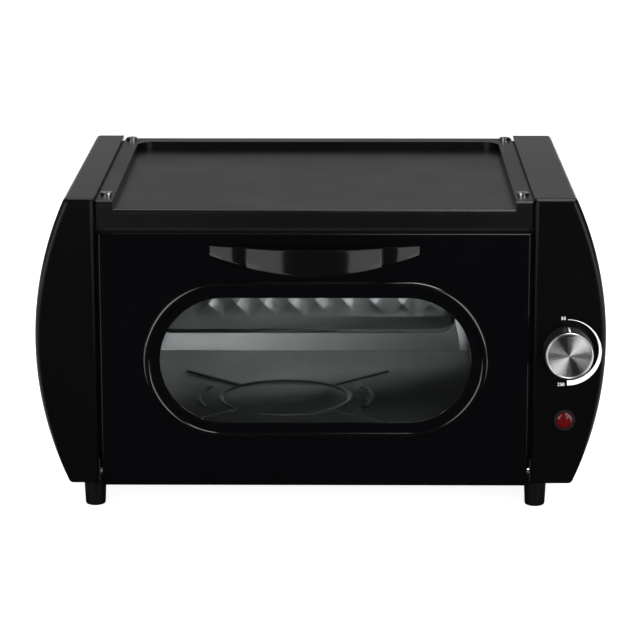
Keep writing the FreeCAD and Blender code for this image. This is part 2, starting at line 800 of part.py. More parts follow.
def make_hinges():
    """The fixed half of the door hinges: plates, screws, pins and washers."""
    wall = S["sheet_wall"]
    half = S["casing_half"]
    inside = half - wall
    axis_y = S["hinge_depth"]
    axis_z = S["hinge_height"]
    pins = []
    washers = []
    screws = []
    for side, name in ((-1, "left_hinge_plate"), (1, "right_hinge_plate")):
        plates = [
            box(
                name + "_ear",
                flank(side, inside, half),
                deep(1, HINGE_TAB[0] + 2),
                HINGE_EAR_HEIGHTS,
            ),
            box(
                name + "_tab",
                flank(side, inside - wall, inside),
                deep(*HINGE_TAB),
                HINGE_TAB_HEIGHTS,
            ),
        ]
        drill_x = flank(side, half - 5, half + 5)[0]
        drills = [rod(name + "_pin_hole", "X", S["pin_radius"], (drill_x, back(axis_y), axis_z), 10)]
        for depth_back in HINGE_SCREW_DEPTHS:
            start = drill_x, back(depth_back), as_size(HINGE_SCREW_HEIGHT)
            drills.append(rod(f"{name}_hole_{len(drills)}", "X", SHANK_HOLE, start, 10))
            seat = across(side * (inside - wall)), back(depth_back), as_size(HINGE_SCREW_HEIGHT)
            screws.append(screw(f"hinge_screw_{len(screws)}", "X", side, 3, SHANK, seat, wall * 2))
        node(cut(name, fuse(name + "_sheets", plates), drills), name)
        pin_start = flank(side, HINGE_PIN_END, half)[0], back(axis_y), axis_z
        pins.append(rod(name + "_pin", "X", S["pin_radius"], pin_start, half - HINGE_PIN_END))
        washer_in = S["door_half"] + S["running_gap"]
        washer_out = inside - S["running_gap"]
        washers.append(tube(
            name + "_washer",
            "X",
            WASHER_RADIUS,
            S["pin_radius"] + 0.1,
            (flank(side, washer_in, washer_out)[0], back(axis_y), axis_z),
            washer_out - washer_in,
        ))
    node(group("hinge_pins", pins), "hinge_pins")
    node(group("hinge_washers", washers), "hinge_washers")
    node(group("hinge_plate_screws", screws), "hinge_plate_screws")


def make_cavity():
    """The oven's lining: walls, roof, pressed back wall and embossed floor."""
    wall = S["sheet_wall"]
    left, right = S["cavity_left"], S["cavity_right"]
    front = S["frame_front"] + wall
    rear = S["cavity_back"]
    low = S["frame_bottom"] + wall
    ceiling = S["cavity_ceiling"]
    heaters = [
        (S[depth], S[height])
        for depth in ("heater_front", "heater_rear")
        for height in ("heater_low", "heater_high")
    ]
    for name, x, holes in (
        ("cavity_left_wall", (-left - wall, -left), []),
        ("cavity_right_wall", (right, right + wall), [(186, 222, 2)]),
    ):
        plate = box(name + "_sheet", wide(*x), deep(front, rear), (low, ceiling))
        drills = []
        for depth_back, height, radius in [(*place, 7.1) for place in heaters] + holes:
            start = across(x[0] - 2), back(depth_back), as_size(height)
            drills.append(rod(f"{name}_hole_{len(drills)}", "X", radius, start, 6))
        node(cut(name, plate, drills), name)
    node(
        box(
            "cavity_roof",
            wide(-left - wall, right + wall),
            deep(front, rear + wall),
            (ceiling, ceiling + wall),
        ),
        "cavity_roof",
    )
    make_back_wall()
    make_cavity_floor()
    ledges = []
    for side, edge in ((-1, left), (1, right)):
        ledge_top = S["cavity_sill"] - wall
        ledges.append(fuse(f"floor_ledge_{len(ledges)}", [
            box(
                f"floor_ledge_flat_{side + 1}",
                flank(side, edge - LEDGE_WIDTH, edge),
                deep(front, rear),
                (ledge_top - wall, ledge_top),
            ),
            box(
                f"floor_ledge_leg_{side + 1}",
                flank(side, edge - wall, edge),
                deep(front, rear),
                (ledge_top - LEDGE_DROP, ledge_top - wall),
            ),
        ]))
    node(group("floor_ledges", ledges), "floor_ledges")


def make_back_wall():
    """The back wall of the cavity, with rows of square pyramids pressed into it."""
    wall = S["sheet_wall"]
    left, right = S["cavity_left"] + wall, S["cavity_right"] + wall
    body = new_body("cavity_back_wall", across(0), back(S["cavity_back"]), 0)
    plate = new_sketch(body, "back_wall_sheet", "XZ_Plane", 0)
    draw_rectangle(plate, (-left, right), (S["casing_bottom"] + wall, S["cavity_ceiling"]))
    pad(body, plate, wall, backwards=True)
    stud = body.newObject("PartDesign::AdditiveWedge", "back_wall_stud")
    base = S["stud_base"]
    proud = S["stud_proud"]
    for target, size in (
        ("Xmin", -base * 0.5), ("Xmax", base * 0.5), ("Zmin", -base * 0.5), ("Zmax", base * 0.5),
        ("X2min", as_size(-0.4)), ("X2max", as_size(0.4)),
        ("Z2min", as_size(-0.4)), ("Z2max", as_size(0.4)),
        ("Ymin", as_size(0)), ("Ymax", proud),
    ):
        bind(stud, target, size)
    stud.AttachmentOffset = Placement(Vector(), Rotation(AXIS["Z"], 180))
    stud.MapMode = "Deactivated"
    stud.Placement = Placement(Vector(), Rotation(AXIS["Z"], 180))
    place(stud, -S["stud_left"], 0, S["stud_row"])
    doc.recompute()
    rows = body.newObject("PartDesign::MultiTransform", "back_wall_studs")
    rows.Originals = [stud]
    steps = []
    for name, role, count in (("stud_columns", "X_Axis", 10), ("stud_rows", "Z_Axis", 4)):
        step = body.newObject("PartDesign::LinearPattern", name)
        axis = [item for item in body.Origin.OriginFeatures if item.Role == role][0]
        step.Direction = (axis, [""])
        step.Occurrences = count
        bind(step, "Length", S["stud_pitch"] * (count - 1))
        steps.append(step)
    rows.Transformations = steps
    body.Tip = rows
    doc.recompute()
    node(body, "cavity_back_wall")


def make_cavity_floor():
    """The cavity's floor, with a ring and four arms pressed up in it."""
    wall = S["sheet_wall"]
    left, right = S["cavity_left"], S["cavity_right"]
    front = S["frame_front"] + wall
    rear = S["cavity_back"]
    top = S["cavity_sill"]
    plate = box("cavity_floor_sheet", wide(-left, right), deep(front, rear), (top - wall, top))
    centre = spot(-S["emboss_left"], S["emboss_back"], top)
    width = S["emboss_width"]
    height = S["emboss_proud"]
    ring_out = rod("floor_ring_outside", "Z", S["emboss_ring"], centre, height)
    ring_in = rod("floor_ring_inside", "Z", S["emboss_ring"] - width, centre, height)
    ribs = [plate, cut("floor_ring", ring_out, [ring_in])]
    for quarter in range(4):
        turn = math.radians(45 + 90 * quarter)
        arm = doc.addObject("Part::Box", f"floor_arm_{quarter}")
        arm.Placement = Placement(Vector(), Rotation(AXIS["Z"], math.degrees(turn)))
        bind(arm, "Length", FLOOR_ARM)
        bind(arm, "Width", width)
        bind(arm, "Height", height)
        along = S["emboss_ring"] - 1
        aside = width * 0.5
        x = centre[0] + along * math.cos(turn) + aside * math.sin(turn)
        y = centre[1] + along * math.sin(turn) - aside * math.cos(turn)
        place(arm, x, y, centre[2])
        ribs.append(arm)
    node(fuse("cavity_floor", ribs), "cavity_floor")


def make_heaters():
    """Four straight heating rods with their ceramic ends and link wires."""
    left_end, right_end = ROD_ENDS
    bushes = []
    for name, height in (("lower_heating_rods", "heater_low"), ("upper_heating_rods", "heater_high")):
        rods = []
        for depth in ("heater_front", "heater_rear"):
            level = S[height]
            start = spot(left_end, S[depth], level)
            pin = spot(right_end, S[depth], level)
            label = f"{name}_{depth}"
            rods.append(fuse(label, [
                rod(label + "_hot", "X", S["heater_radius"], start, right_end - left_end),
                rod(label + "_pin", "X", S["heater_pin"], pin, ROD_PIN),
            ]))
            for bush_x in INSULATOR_STARTS:
                bushes.append(tube(
                    f"rod_insulator_{len(bushes)}",
                    "X",
                    INSULATOR_RADIUS,
                    S["heater_radius"] + 0.1,
                    spot(bush_x, S[depth], level),
                    INSULATOR_LENGTH,
                ))
        node(group(name, rods), name)
    node(group("rod_insulators", bushes), "rod_insulators")
    links = []
    for depth in ("heater_front", "heater_rear"):
        start = spot(158, S[depth] + S["heater_pin"] + 1, S["heater_low"])
        length = S["heater_high"] - S["heater_low"]
        links.append(rod(f"link_wire_{depth}", "Z", 1, start, length))
    node(group("heater_link_wires", links), "heater_link_wires")


def route(name, points, radius):
    """A wire whose runs follow the axes, with a ball at each bend."""
    pieces = []
    for number, (start, end) in enumerate(zip(points, points[1:])):
        steps = [end[axis] - start[axis] for axis in range(3)]
        axis = max(range(3), key=lambda item: abs(steps[item]))
        first = start if steps[axis] > 0 else end
        piece = rod(f"{name}_run_{number}", "XYZ"[axis], radius, spot(*first), abs(steps[axis]))
        pieces.append(piece)
        if number:
            ball = doc.addObject("Part::Sphere", f"{name}_bend_{number}")
            bind(ball, "Radius", radius)
            place(ball, *spot(*start))
            pieces.append(ball)
    return fuse(name, pieces)


def make_controls():
    """What the right cover holds behind the knob and the pilot lamp."""
    wall = S["cover_wall"]
    dial_x, dial_z = S["dial_x"], S["dial_height"]
    block = box(
        "thermostat_block",
        wide(dial_x - THERMOSTAT_HALF, dial_x + THERMOSTAT_HALF),
        deep(THERMOSTAT_FRONT, THERMOSTAT_FRONT + THERMOSTAT_DEPTH),
        (dial_z - THERMOSTAT_HALF, dial_z + THERMOSTAT_HALF),
    )
    bracket = fuse("thermostat_bracket_sheets", [
        box(
            "bracket_web",
            wide(dial_x - THERMOSTAT_HALF, dial_x + THERMOSTAT_HALF),
            deep(THERMOSTAT_FRONT - S["sheet_wall"], THERMOSTAT_FRONT),
            (dial_z - BRACKET_HALF, dial_z + BRACKET_HALF),
        ),
        box(
            "bracket_low_leg",
            wide(dial_x - THERMOSTAT_HALF, dial_x + THERMOSTAT_HALF),
            deep(wall, THERMOSTAT_FRONT - S["sheet_wall"]),
            (dial_z - BRACKET_HALF, dial_z - BRACKET_HALF + S["sheet_wall"]),
        ),
        box(
            "bracket_high_leg",
            wide(dial_x - THERMOSTAT_HALF, dial_x + THERMOSTAT_HALF),
            deep(wall, THERMOSTAT_FRONT - S["sheet_wall"]),
            (dial_z + BRACKET_HALF - S["sheet_wall"], dial_z + BRACKET_HALF),
        ),
    ])
    bore = S["shaft_radius"] + S["running_gap"]
    block_holes = [rod("thermostat_bore", "Y", bore, spot(dial_x, THERMOSTAT_FRONT - 1, dial_z), 18)]
    web_holes = [rod("bracket_bore", "Y", 4, spot(dial_x, wall, dial_z), 20)]
    screws = []
    for offset in (-12, 12):
        seat = spot(dial_x + offset, THERMOSTAT_FRONT - S["sheet_wall"], dial_z)
        screws.append(screw(f"thermostat_screw_{len(screws)}", "Y", 1, 3, SHANK, seat, 8))
        drill = rod(f"thermostat_hole_{len(screws)}", "Y", 1.75, seat, 9)
        block_holes.append(drill)
        web_hole = rod(f"bracket_hole_{len(screws)}", "Y", 1.75, seat, 5)
        web_holes.append(web_hole)
    node(cut("thermostat_body", block, block_holes), "thermostat_body")
    node(cut("thermostat_bracket", bracket, web_holes), "thermostat_bracket")
    node(group("thermostat_screws", screws), "thermostat_screws")

    bulb_x = S["cavity_right"] - 5
    node(rod("sensor_bulb", "Y", 2.5, spot(bulb_x, 110, S["heater_high"]), 60), "sensor_bulb")
    clips = []
    for number, depth_back in enumerate((120, 152)):
        clip = box(
            f"sensor_clip_block_{number}",
            wide(bulb_x - 4, S["cavity_right"]),
            deep(depth_back, depth_back + 6),
            (S["heater_high"] - 4, S["heater_high"] + 4),
        )
        start = spot(bulb_x, depth_back - 1, S["heater_high"])
        clips.append(cut(f"sensor_clip_{number}", clip, [rod(f"clip_bore_{number}", "Y", 2.55, start, 8)]))
    node(group("sensor_clips", clips), "sensor_clips")
    capillary = route("capillary_tube", [
        (137, 170, 222), (137, 186, 222), (206, 186, 222), (206, 186, 150), (206, 40, 150),
    ], 0.8)
    node(capillary, "capillary_tube")

    block_low = S["cover_bottom"] + wall
    terminals = box("terminal_block", wide(190, 206), deep(240, 285), (block_low, block_low + 15))
    node(terminals, "terminal_block")
    wires = [
        route("thermostat_wire", [(216, 40, 132), (216, 262, 132), (216, 262, 34), (206, 262, 34)], 1.2),
        route("lamp_wire", [(211, 30, 81), (211, 250, 81), (211, 250, 36), (206, 250, 36)], 1.2),
        route("supply_wire", [(198, 270, 41.9), (198, 270, 50), (150, 270, 50), (150, 300, 50)], 1.2),
        route("heater_wire", [(203, 40, 132), (203, 150, 132), (158, 150, 132), (158, 94.7, 132)], 1.2),
    ]
    node(group("inner_wires", wires), "inner_wires")
    gland_x, gland_z = GLAND
    rear = S["casing_back"]
    gland = fuse("gland_wall", [
        rod("gland_neck", "Y", 6, spot(gland_x, 300, gland_z), rear + S["sheet_wall"] - 300),
        rod("gland_collar", "Y", 8, spot(gland_x, rear + S["sheet_wall"], gland_z), 5),
    ])
    gland_bore = rod("gland_bore", "Y", 3.2, spot(gland_x, 299, gland_z), 30)
    node(cut("cable_gland", gland, [gland_bore]), "cable_gland")


def make_lamp():
    """The red pilot lamp under the knob."""
    x, z = S["lamp_x"], S["lamp_height"]
    radius = S["lamp_radius"]
    wall = S["cover_wall"]
    lens = rod("lamp_lens", "Y", radius, spot(x, -LENS_PROUD, z), LENS_PROUD + 6)
    node(lens, "lamp_lens")
    bezel_start = spot(x, -BEZEL_PROUD, z)
    bezel = tube("lamp_bezel", "Y", S["bezel_radius"], radius + 0.05, bezel_start, BEZEL_PROUD)
    node(bezel, "lamp_bezel")
    node(tube("lamp_nut", "Y", 10, radius + 0.1, spot(x, wall, z), 2), "lamp_nut")
    node(rod("lamp_body", "Y", 6.5, spot(x, 6, z), 24), "lamp_body")


def spin(body, sketch, reference):
    """Turn a sketch about one of its own axes into a round solid."""
    feature = body.newObject("PartDesign::Revolution", sketch.Name + "_turn")
    feature.Profile = sketch
    feature.ReferenceAxis = (sketch, [reference])
    feature.Angle = 360
    doc.recompute()
    return feature


def make_feet():
    """Four tapered feet and the screws that hold them to the covers."""
    screws = []
    low, high = S["foot_radius"], S["foot_top_radius"]
    top = S["cover_bottom"]
    for side, hand in ((-1, "left"), (1, "right")):
        for row, depth_back in (("front", S["foot_front"]), ("back", S["foot_back"])):
            name = f"foot_{row}_{hand}"
            body = new_body(name, across(side * S["foot_half"]), back(depth_back), 0)
            profile = new_sketch(body, name + "_profile", "XZ_Plane", 0)
            draw_polygon(profile, [
                (5, 0), (low - 1.6, 0), (low - 0.5, 0.5), (low, 1.8),
                (high, top), (THICK_SHANK_HOLE, top), (THICK_SHANK_HOLE, FOOT_SCREW_SEAT), (5, FOOT_SCREW_SEAT),
            ])
            spin(body, profile, "V_Axis")
            node(body, name)
            seat = across(side * S["foot_half"]), back(depth_back), as_size(FOOT_SCREW_SEAT)
            screws.append(screw(f"foot_screw_{len(screws)}", "Z", 1, 4, THICK_SHANK, seat, 17))
    node(group("foot_screws", screws), "foot_screws")


def make_knob():
    """The knob, its metal disc and the thermostat shaft that it turns."""
    face = S["knob_front"]
    skirt = S["knob_radius"]
    cap = S["cap_radius"]
    gap = S["knob_gap"]
    bore = S["shaft_radius"] + S["running_gap"]
    body = new_body("knob_body", across(S["dial_x"]), back(0), S["dial_height"])
    profile = new_sketch(body, "knob_profile", "XY_Plane", 0)
    draw_polygon(profile, [
        (bore, -gap), (skirt, -gap), (skirt, -gap - 3), (skirt - 1.1, 1.2 - face),
        (skirt - 2.1, -face), (cap + 0.1, -face), (cap + 0.1, 0.8 - face), (0, 0.8 - face),
        (0, -14), (bore, -14),
    ])
    spin(body, profile, "V_Axis")
    node(body, "knob_body")
    cap_start = spot(S["dial_x"], -face - 0.4, S["dial_height"])
    node(rod("knob_cap", "Y", cap, cap_start, 1.2), "knob_cap")
    shaft = rod("thermostat_shaft", "Y", S["shaft_radius"], spot(S["dial_x"], -14, S["dial_height"]), 44)
    node(shaft, "thermostat_shaft")


def make_door_panel():
    """The pressed front of the door, folded back round its edges."""
    wall = S["sheet_wall"]
    half = S["door_half"]
    low, high = S["door_bottom"], S["door_top"]
    depth = S["door_depth"]
    middle = S["window_shift"], S["window_height"]
    body = new_body("door_panel", across(0), back(0), 0)
    blank = new_sketch(body, "door_blank", "XZ_Plane", 0)
    draw_rectangle(blank, (-half, half), (low, high))
    pad(body, blank, depth, backwards=True)
    soften(body, "door_rounding", S["door_round"], lambda spot_on_edge, edge: spot_on_edge.y < 0.1)
    tray = new_sketch(body, "door_tray", "XZ_Plane", -depth)
    draw_rectangle(tray, (wall - half, half - wall), (low + wall, high - wall))
    pocket(body, tray, depth - wall, backwards=True)
    bead = new_sketch(body, "door_bead", "XZ_Plane", as_size(-0.2))
    reach = S["bead_reach"]
    width = S["bead_width"]
    draw_stadium(bead, *middle, S["window_half"] + reach, S["window_radius"] + reach)
    draw_stadium(bead, *middle, S["window_half"] + reach - width, S["window_radius"] + reach - width)
    pad(body, bead, S["bead_proud"] + 0.2)

    def bead_edge(middle_of_edge, edge):
        return abs(middle_of_edge.y + S["bead_proud"].value) < 0.01

    soften(body, "bead_rounding", S["bead_proud"] * 0.8, bead_edge)
    window = new_sketch(body, "door_window", "XZ_Plane", as_size(1))
    draw_stadium(window, *middle, S["window_half"], S["window_radius"])
    pocket(body, window, wall + 3)
    pins = new_sketch(body, "door_pin_holes", "YZ_Plane", -half - 5)
    draw_circle(pins, S["hinge_depth"], S["hinge_height"], S["pin_radius"] + 0.4)
    pocket(body, pins, 2 * half + 10, backwards=True)
    screws = new_sketch(body, "door_handle_holes", "XZ_Plane", as_size(1))
    for side in (-1, 1):
        draw_circle(screws, side * S["handle_screw_half"], HANDLE_SCREW_HEIGHT, THICK_SHANK_HOLE)
    pocket(body, screws, wall + 3)
    node(body, "door_panel")


def stadium_plate(name, depth_front, depth_back, half, radius, hole_half=None, hole_radius=None):
    """A flat piece of the window: a pane, or a ring where it has a hole."""
    body = new_body(name, across(0), back(0), 0)
    middle = S["window_shift"], S["window_height"]
    outline = new_sketch(body, name + "_outline", "XZ_Plane", -as_size(depth_front))
    draw_stadium(outline, *middle, half, radius)
    if hole_half is not None:
        draw_stadium(outline, *middle, hole_half, hole_radius)
    pad(body, outline, depth_back - depth_front, backwards=True)
    return node(body, name)


def make_door():
    """The drop-down door: panels, glass, gaskets, rails, hinge bushes and screws."""
    wall = S["sheet_wall"]
    lap = S["glass_lap"]
    depth = S["door_depth"]
    make_door_panel()
    pane_half, pane_radius = S["window_half"] + lap, S["window_radius"] + lap
    hole_half, hole_radius = S["window_half"] + 2, S["window_radius"] + 2
    glass_front = wall + S["gasket_thick"]
    glass_back = glass_front + S["glass_thick"]
    inner_front = depth - wall
    stadium_plate(
        "front_glass_gasket", wall, glass_front, pane_half, pane_radius, hole_half, hole_radius
    )
    stadium_plate("door_glass", glass_front, glass_back, pane_half, pane_radius)
    stadium_plate(
        "rear_glass_gasket", glass_back, inner_front, pane_half, pane_radius, hole_half, hole_radius
    )
    body = new_body("door_inner_panel", across(0), back(0), 0)
    half = S["door_half"] - wall
    plate = new_sketch(body, "inner_panel_sheet", "XZ_Plane", -inner_front)
    draw_rectangle(plate, (-half, half), (S["door_bottom"] + wall, S["door_top"] - wall))
    draw_stadium(plate, S["window_shift"], S["window_height"], hole_half + 3, hole_radius + 3)
    for side in (-1, 1):
        for height in DOOR_SCREW_HEIGHTS:
            draw_circle(plate, as_size(side * DOOR_SCREW_HALF), as_size(height), SHANK_HOLE)
    pad(body, plate, wall, backwards=True)
    node(body, "door_inner_panel")

    screws = []
    bushes = []
    for side, name in ((-1, "left_door_rail"), (1, "right_door_rail")):
        rail = box(name + "_bar", flank(side, *RAIL_HALVES), deep(wall, inner_front), RAIL_HEIGHTS)
        channel = box(
            name + "_channel",
            flank(side, RAIL_HALVES[0] + wall, RAIL_HALVES[1] - wall),
            deep(wall - 1, inner_front - wall),
            (RAIL_HEIGHTS[0] - 1, RAIL_HEIGHTS[1] + 1),
        )
        axle = S["hinge_depth"], S["hinge_height"]
        bush_start = flank(side, BUSH_END, S["door_half"] - wall)[0], back(axle[0]), axle[1]
        drills = [channel, rod(name + "_bush_hole", "X", BUSH_RADIUS, bush_start, 20)]
        for height in DOOR_SCREW_HEIGHTS:
            start = spot(side * DOOR_SCREW_HALF, depth - 6, height)
            drills.append(rod(f"{name}_hole_{len(drills)}", "Y", SHANK_HOLE, start, 6))
            seat = spot(side * DOOR_SCREW_HALF, depth, height)
            name_of_screw = f"door_screw_{len(screws)}"
            screws.append(screw(name_of_screw, "Y", -1, 3, SHANK, seat, 7, head_height=1))
        node(cut(name, rail, drills), name)
        bush = tube(
            name + "_bush",
            "X",
            BUSH_RADIUS,
            S["pin_radius"] + S["running_gap"],
            bush_start,
            S["door_half"] - wall - BUSH_END,
        )
        bushes.append(bush)
    node(group("hinge_bushes", bushes), "hinge_bushes")
    node(group("door_screws", screws), "door_screws")
    make_handle()


def add_arc(sketch, start, middle, end):
    """An arc through three points given in the sketch's plane."""
    return sketch.addGeometry(Part.Arc(*[Vector(x, y, 0) for x, y in (start, middle, end)]))


def make_handle():
    """A crescent handle with a finger gap behind its grip, and its two screws."""
    half, grip = S["handle_half"], S["grip_half"]
    proud, gap = S["handle_proud"], S["grip_gap"]
    top, low, end_low = S["handle_top"], S["handle_low"], S["handle_end_low"]
    body = new_body("door_handle", across(0), back(0), 0)
    plan = new_sketch(body, "handle_plan", "XY_Plane", low - 1)
    outer = add_arc(plan, (-half.value, 0), (0, -proud.value), (half.value, 0))
    inner = add_arc(plan, (-grip.value, 0), (0, -gap.value), (grip.value, 0))
    ends = []
    for side in (-1, 1):
        spots = [Vector(side * half.value, 0, 0), Vector(side * grip.value, 0, 0)]
        ends.append(plan.addGeometry(Part.LineSegment(*spots)))
    for side, line, point in ((-1, ends[0], 1), (1, ends[1], 2)):
        plan.addConstraint(Sketcher.Constraint("Coincident", line, 1, outer, point))
        plan.addConstraint(Sketcher.Constraint("Coincident", line, 2, inner, point))
        fix_point(plan, line, 1, side * half, 0)
        fix_point(plan, line, 2, side * grip, 0)
    for arc, rise, reach in ((outer, proud, half), (inner, gap, grip)):
        radius = (reach.value ** 2 + rise.value ** 2) / (2 * rise.value)
        formula = f"(({reach.formula}^2 + {rise.formula}^2) / (2 * {rise.formula}))"
        fix_radius(plan, arc, Size(radius, formula))
    pad(body, plan, top - low + 1)

    below = new_sketch(body, "handle_underside", "XZ_Plane", as_size(40))
    rise = end_low - low
    radius = (half.value ** 2 + rise.value ** 2) / (2 * rise.value)
    formula = f"(({half.formula}^2 + {rise.formula}^2) / (2 * {rise.formula}))"
    reach = half + 6
    drop = radius - math.sqrt(radius ** 2 - reach.value ** 2)
    edge = low.value + drop
    arc = add_arc(below, (-reach.value, edge), (0, low.value), (reach.value, edge))
    corners = [(-reach.value, edge), (-reach.value, low.value - 9), (reach.value, low.value - 9)]
    spots = [Vector(x, y, 0) for x, y in corners + [(reach.value, edge)]]
    lines = [below.addGeometry(Part.LineSegment(*spots[n:n + 2])) for n in range(3)]
    below.addConstraint(Sketcher.Constraint("Coincident", arc, 1, lines[0], 1))
    below.addConstraint(Sketcher.Constraint("Coincident", lines[0], 2, lines[1], 1))
    below.addConstraint(Sketcher.Constraint("Coincident", lines[1], 2, lines[2], 1))
    below.addConstraint(Sketcher.Constraint("Coincident", lines[2], 2, arc, 2))
    fix_radius(below, arc, Size(radius, formula))
    fix_point(below, arc, 3, 0, low + Size(radius, formula))
    fix_point(below, lines[0], 2, -reach, low - 9)
    fix_point(below, lines[1], 2, reach, low - 9)
    fix_point(below, lines[0], 1, -reach, None)
    fix_point(below, lines[2], 2, reach, None)
    pocket(body, below, 60)

    def grip_edge(middle, edge):
        return middle.y < 1 - proud.value and edge.Length > half.value

    soften(body, "handle_rounding", S["handle_round"], grip_edge)
    holes = new_sketch(body, "handle_holes", "XZ_Plane", as_size(-1))
    for side in (-1, 1):
        draw_circle(holes, side * S["handle_screw_half"], HANDLE_SCREW_HEIGHT, 2.05)
    pocket(body, holes, 6.2, backwards=True)
    node(body, "door_handle")
    screws = []
    for side in (-1, 1):
        seat = spot(side * S["handle_screw_half"], S["sheet_wall"], HANDLE_SCREW_HEIGHT)
        screws.append(screw(f"handle_screw_{len(screws)}", "Y", -1, 3.8, THICK_SHANK, seat, 6))
    node(group("handle_screws", screws), "handle_screws")


def check_and_export():
    """Stop at the first faulty object, then write one file for each node."""
    doc.recompute()
    for item in doc.Objects:
        if "Invalid" in item.State or "Error" in item.State:
            raise RuntimeError(f"{item.Label} failed: {item.State}")
    os.makedirs("parts", exist_ok=True)
    for item in nodes:
        shape = item.Shape
        if shape.isNull() or not shape.isValid() or not shape.Solids:
            raise RuntimeError(f"{item.Label} has no sound shape")
        shape.exportStep(f"parts/{item.Label}.step")
        size = shape.optimalBoundingBox()
        spans = f"{size.XLength:.1f} x {size.YLength:.1f} x {size.ZLength:.1f}"
        print(f"{item.Label}: {len(shape.Solids)} solids, {spans} mm")


make_covers()
make_griddle()
make_casing()
make_hinges()
make_cavity()
make_heaters()
make_controls()
make_lamp()
make_feet()
make_knob()
make_door()
check_and_export()
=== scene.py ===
import bpy
import bmesh
import json
import math
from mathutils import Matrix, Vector

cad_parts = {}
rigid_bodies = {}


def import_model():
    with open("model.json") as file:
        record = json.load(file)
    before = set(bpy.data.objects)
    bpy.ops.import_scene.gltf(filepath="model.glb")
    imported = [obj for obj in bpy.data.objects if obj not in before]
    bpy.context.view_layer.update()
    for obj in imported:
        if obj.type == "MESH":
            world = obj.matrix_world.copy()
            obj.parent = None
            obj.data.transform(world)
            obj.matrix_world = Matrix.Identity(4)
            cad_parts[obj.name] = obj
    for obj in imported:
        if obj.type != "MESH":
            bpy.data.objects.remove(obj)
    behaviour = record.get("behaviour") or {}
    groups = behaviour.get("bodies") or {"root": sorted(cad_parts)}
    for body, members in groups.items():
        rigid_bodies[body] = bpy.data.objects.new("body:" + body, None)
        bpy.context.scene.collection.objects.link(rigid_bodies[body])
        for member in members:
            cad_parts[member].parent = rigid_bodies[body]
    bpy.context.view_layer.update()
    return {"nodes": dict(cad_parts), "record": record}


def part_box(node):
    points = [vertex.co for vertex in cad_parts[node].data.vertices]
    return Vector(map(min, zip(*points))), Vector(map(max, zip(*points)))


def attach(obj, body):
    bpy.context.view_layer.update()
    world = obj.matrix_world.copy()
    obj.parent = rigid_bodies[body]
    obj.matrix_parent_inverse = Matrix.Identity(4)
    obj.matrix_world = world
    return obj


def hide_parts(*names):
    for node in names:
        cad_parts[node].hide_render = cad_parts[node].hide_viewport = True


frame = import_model()

# the frame gives the places: everything below is measured from these boxes
doorLow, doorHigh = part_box("door_panel")
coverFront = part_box("right_side_cover")[0].y
knobLow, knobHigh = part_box("knob_body")
lensLow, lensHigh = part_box("lamp_lens")
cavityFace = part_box("cavity_floor")[1].y  # the back wall's front meets the floor's rear edge
ovenMiddle = (doorLow.x + doorHigh.x) / 2
knobMiddle = (knobLow.x + knobHigh.x) / 2, (knobLow.z + knobHigh.z) / 2
lensMiddle = (lensLow.x + lensHigh.x) / 2, (lensLow.z + lensHigh.z) / 2

solidBead = 0.0014  # how far the door's own bead stands out, where its box starts
doorFace = doorLow.y + solidBead
mergeDistance = 0.000001
refractiveIndex = 1.45


def tidyScene():
    for item in list(bpy.data.objects):
        if item.type in {"LIGHT", "CAMERA"} or item.name == "Cube":
            bpy.data.objects.remove(item)


tidyScene()


def atRest():
    if bpy.context.mode != "OBJECT":
        bpy.ops.object.mode_set(mode="OBJECT")
    bpy.ops.object.select_all(action="DESELECT")


def workOn(piece):
    atRest()
    bpy.context.view_layer.objects.active = piece
    piece.select_set(True)
    bpy.ops.object.mode_set(mode="EDIT")


def settle(piece):
    # the place goes into the mesh, as in the frame's own nodes
    atRest()
    bpy.context.view_layer.objects.active = piece
    piece.select_set(True)
    bpy.ops.object.transform_apply(location=True, rotation=True, scale=True)
    return piece


def pick(kind, test):
    # in edit mode: selects the verts, edges or faces that pass the test
    mesh = bmesh.from_edit_mesh(bpy.context.object.data)
    mesh.verts.index_update()
    wanted = [item for item in getattr(mesh, kind) if test(item)]
    bpy.context.tool_settings.mesh_select_mode = [kind == k for k in ("verts", "edges", "faces")]
    mesh.select_mode = {{"verts": "VERT", "edges": "EDGE", "faces": "FACE"}[kind]}
    for item in [*mesh.verts, *mesh.edges, *mesh.faces]:
        item.select = False
    for item in wanted:
        item.select_set(True)
    mesh.select_flush_mode()
    bmesh.update_edit_mesh(bpy.context.object.data)


def mendNormals(piece):
    workOn(piece)
    bpy.ops.mesh.select_all(action="SELECT")
    bpy.ops.mesh.remove_doubles(threshold=mergeDistance)
    bpy.ops.mesh.normals_make_consistent(inside=False)
    atRest()


def applyModifiers(piece):
    atRest()
    bpy.context.view_layer.objects.active = piece
    piece.select_set(True)
    for modifier in list(piece.modifiers):
        bpy.ops.object.modifier_apply(modifier=modifier.name)


def roundEdges(piece, width, segments=3, angle=40):
    bevel = piece.modifiers.new("roundedEdges", "BEVEL")
    bevel.width = width
    bevel.segments = segments
    bevel.limit_method = "ANGLE"
    bevel.angle_limit = math.radians(angle)
    bevel.harden_normals = True
    applyModifiers(piece)


def cutWith(piece, cutter):
    boolean = piece.modifiers.new("cut", "BOOLEAN")
    boolean.operation = "DIFFERENCE"
    boolean.object = cutter
    boolean.solver = "EXACT"
    applyModifiers(piece)
    bpy.data.objects.remove(cutter)


def joinPieces(pieces):
    atRest()
    for piece in pieces:
        piece.select_set(True)
    bpy.context.view_layer.objects.active = pieces[0]
    bpy.ops.object.join()
    return bpy.context.object


def finishPiece(piece, name, material, slotName, body, *nodes, smooth=35):
    settle(piece)
    piece.name = name
    piece.data.materials.clear()
    piece.data.materials.append(material)
    if smooth:
        bpy.ops.object.shade_smooth_by_angle(angle=math.radians(smooth))
    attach(piece, body)
    if nodes:
        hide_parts(*nodes)
    print("made", name)


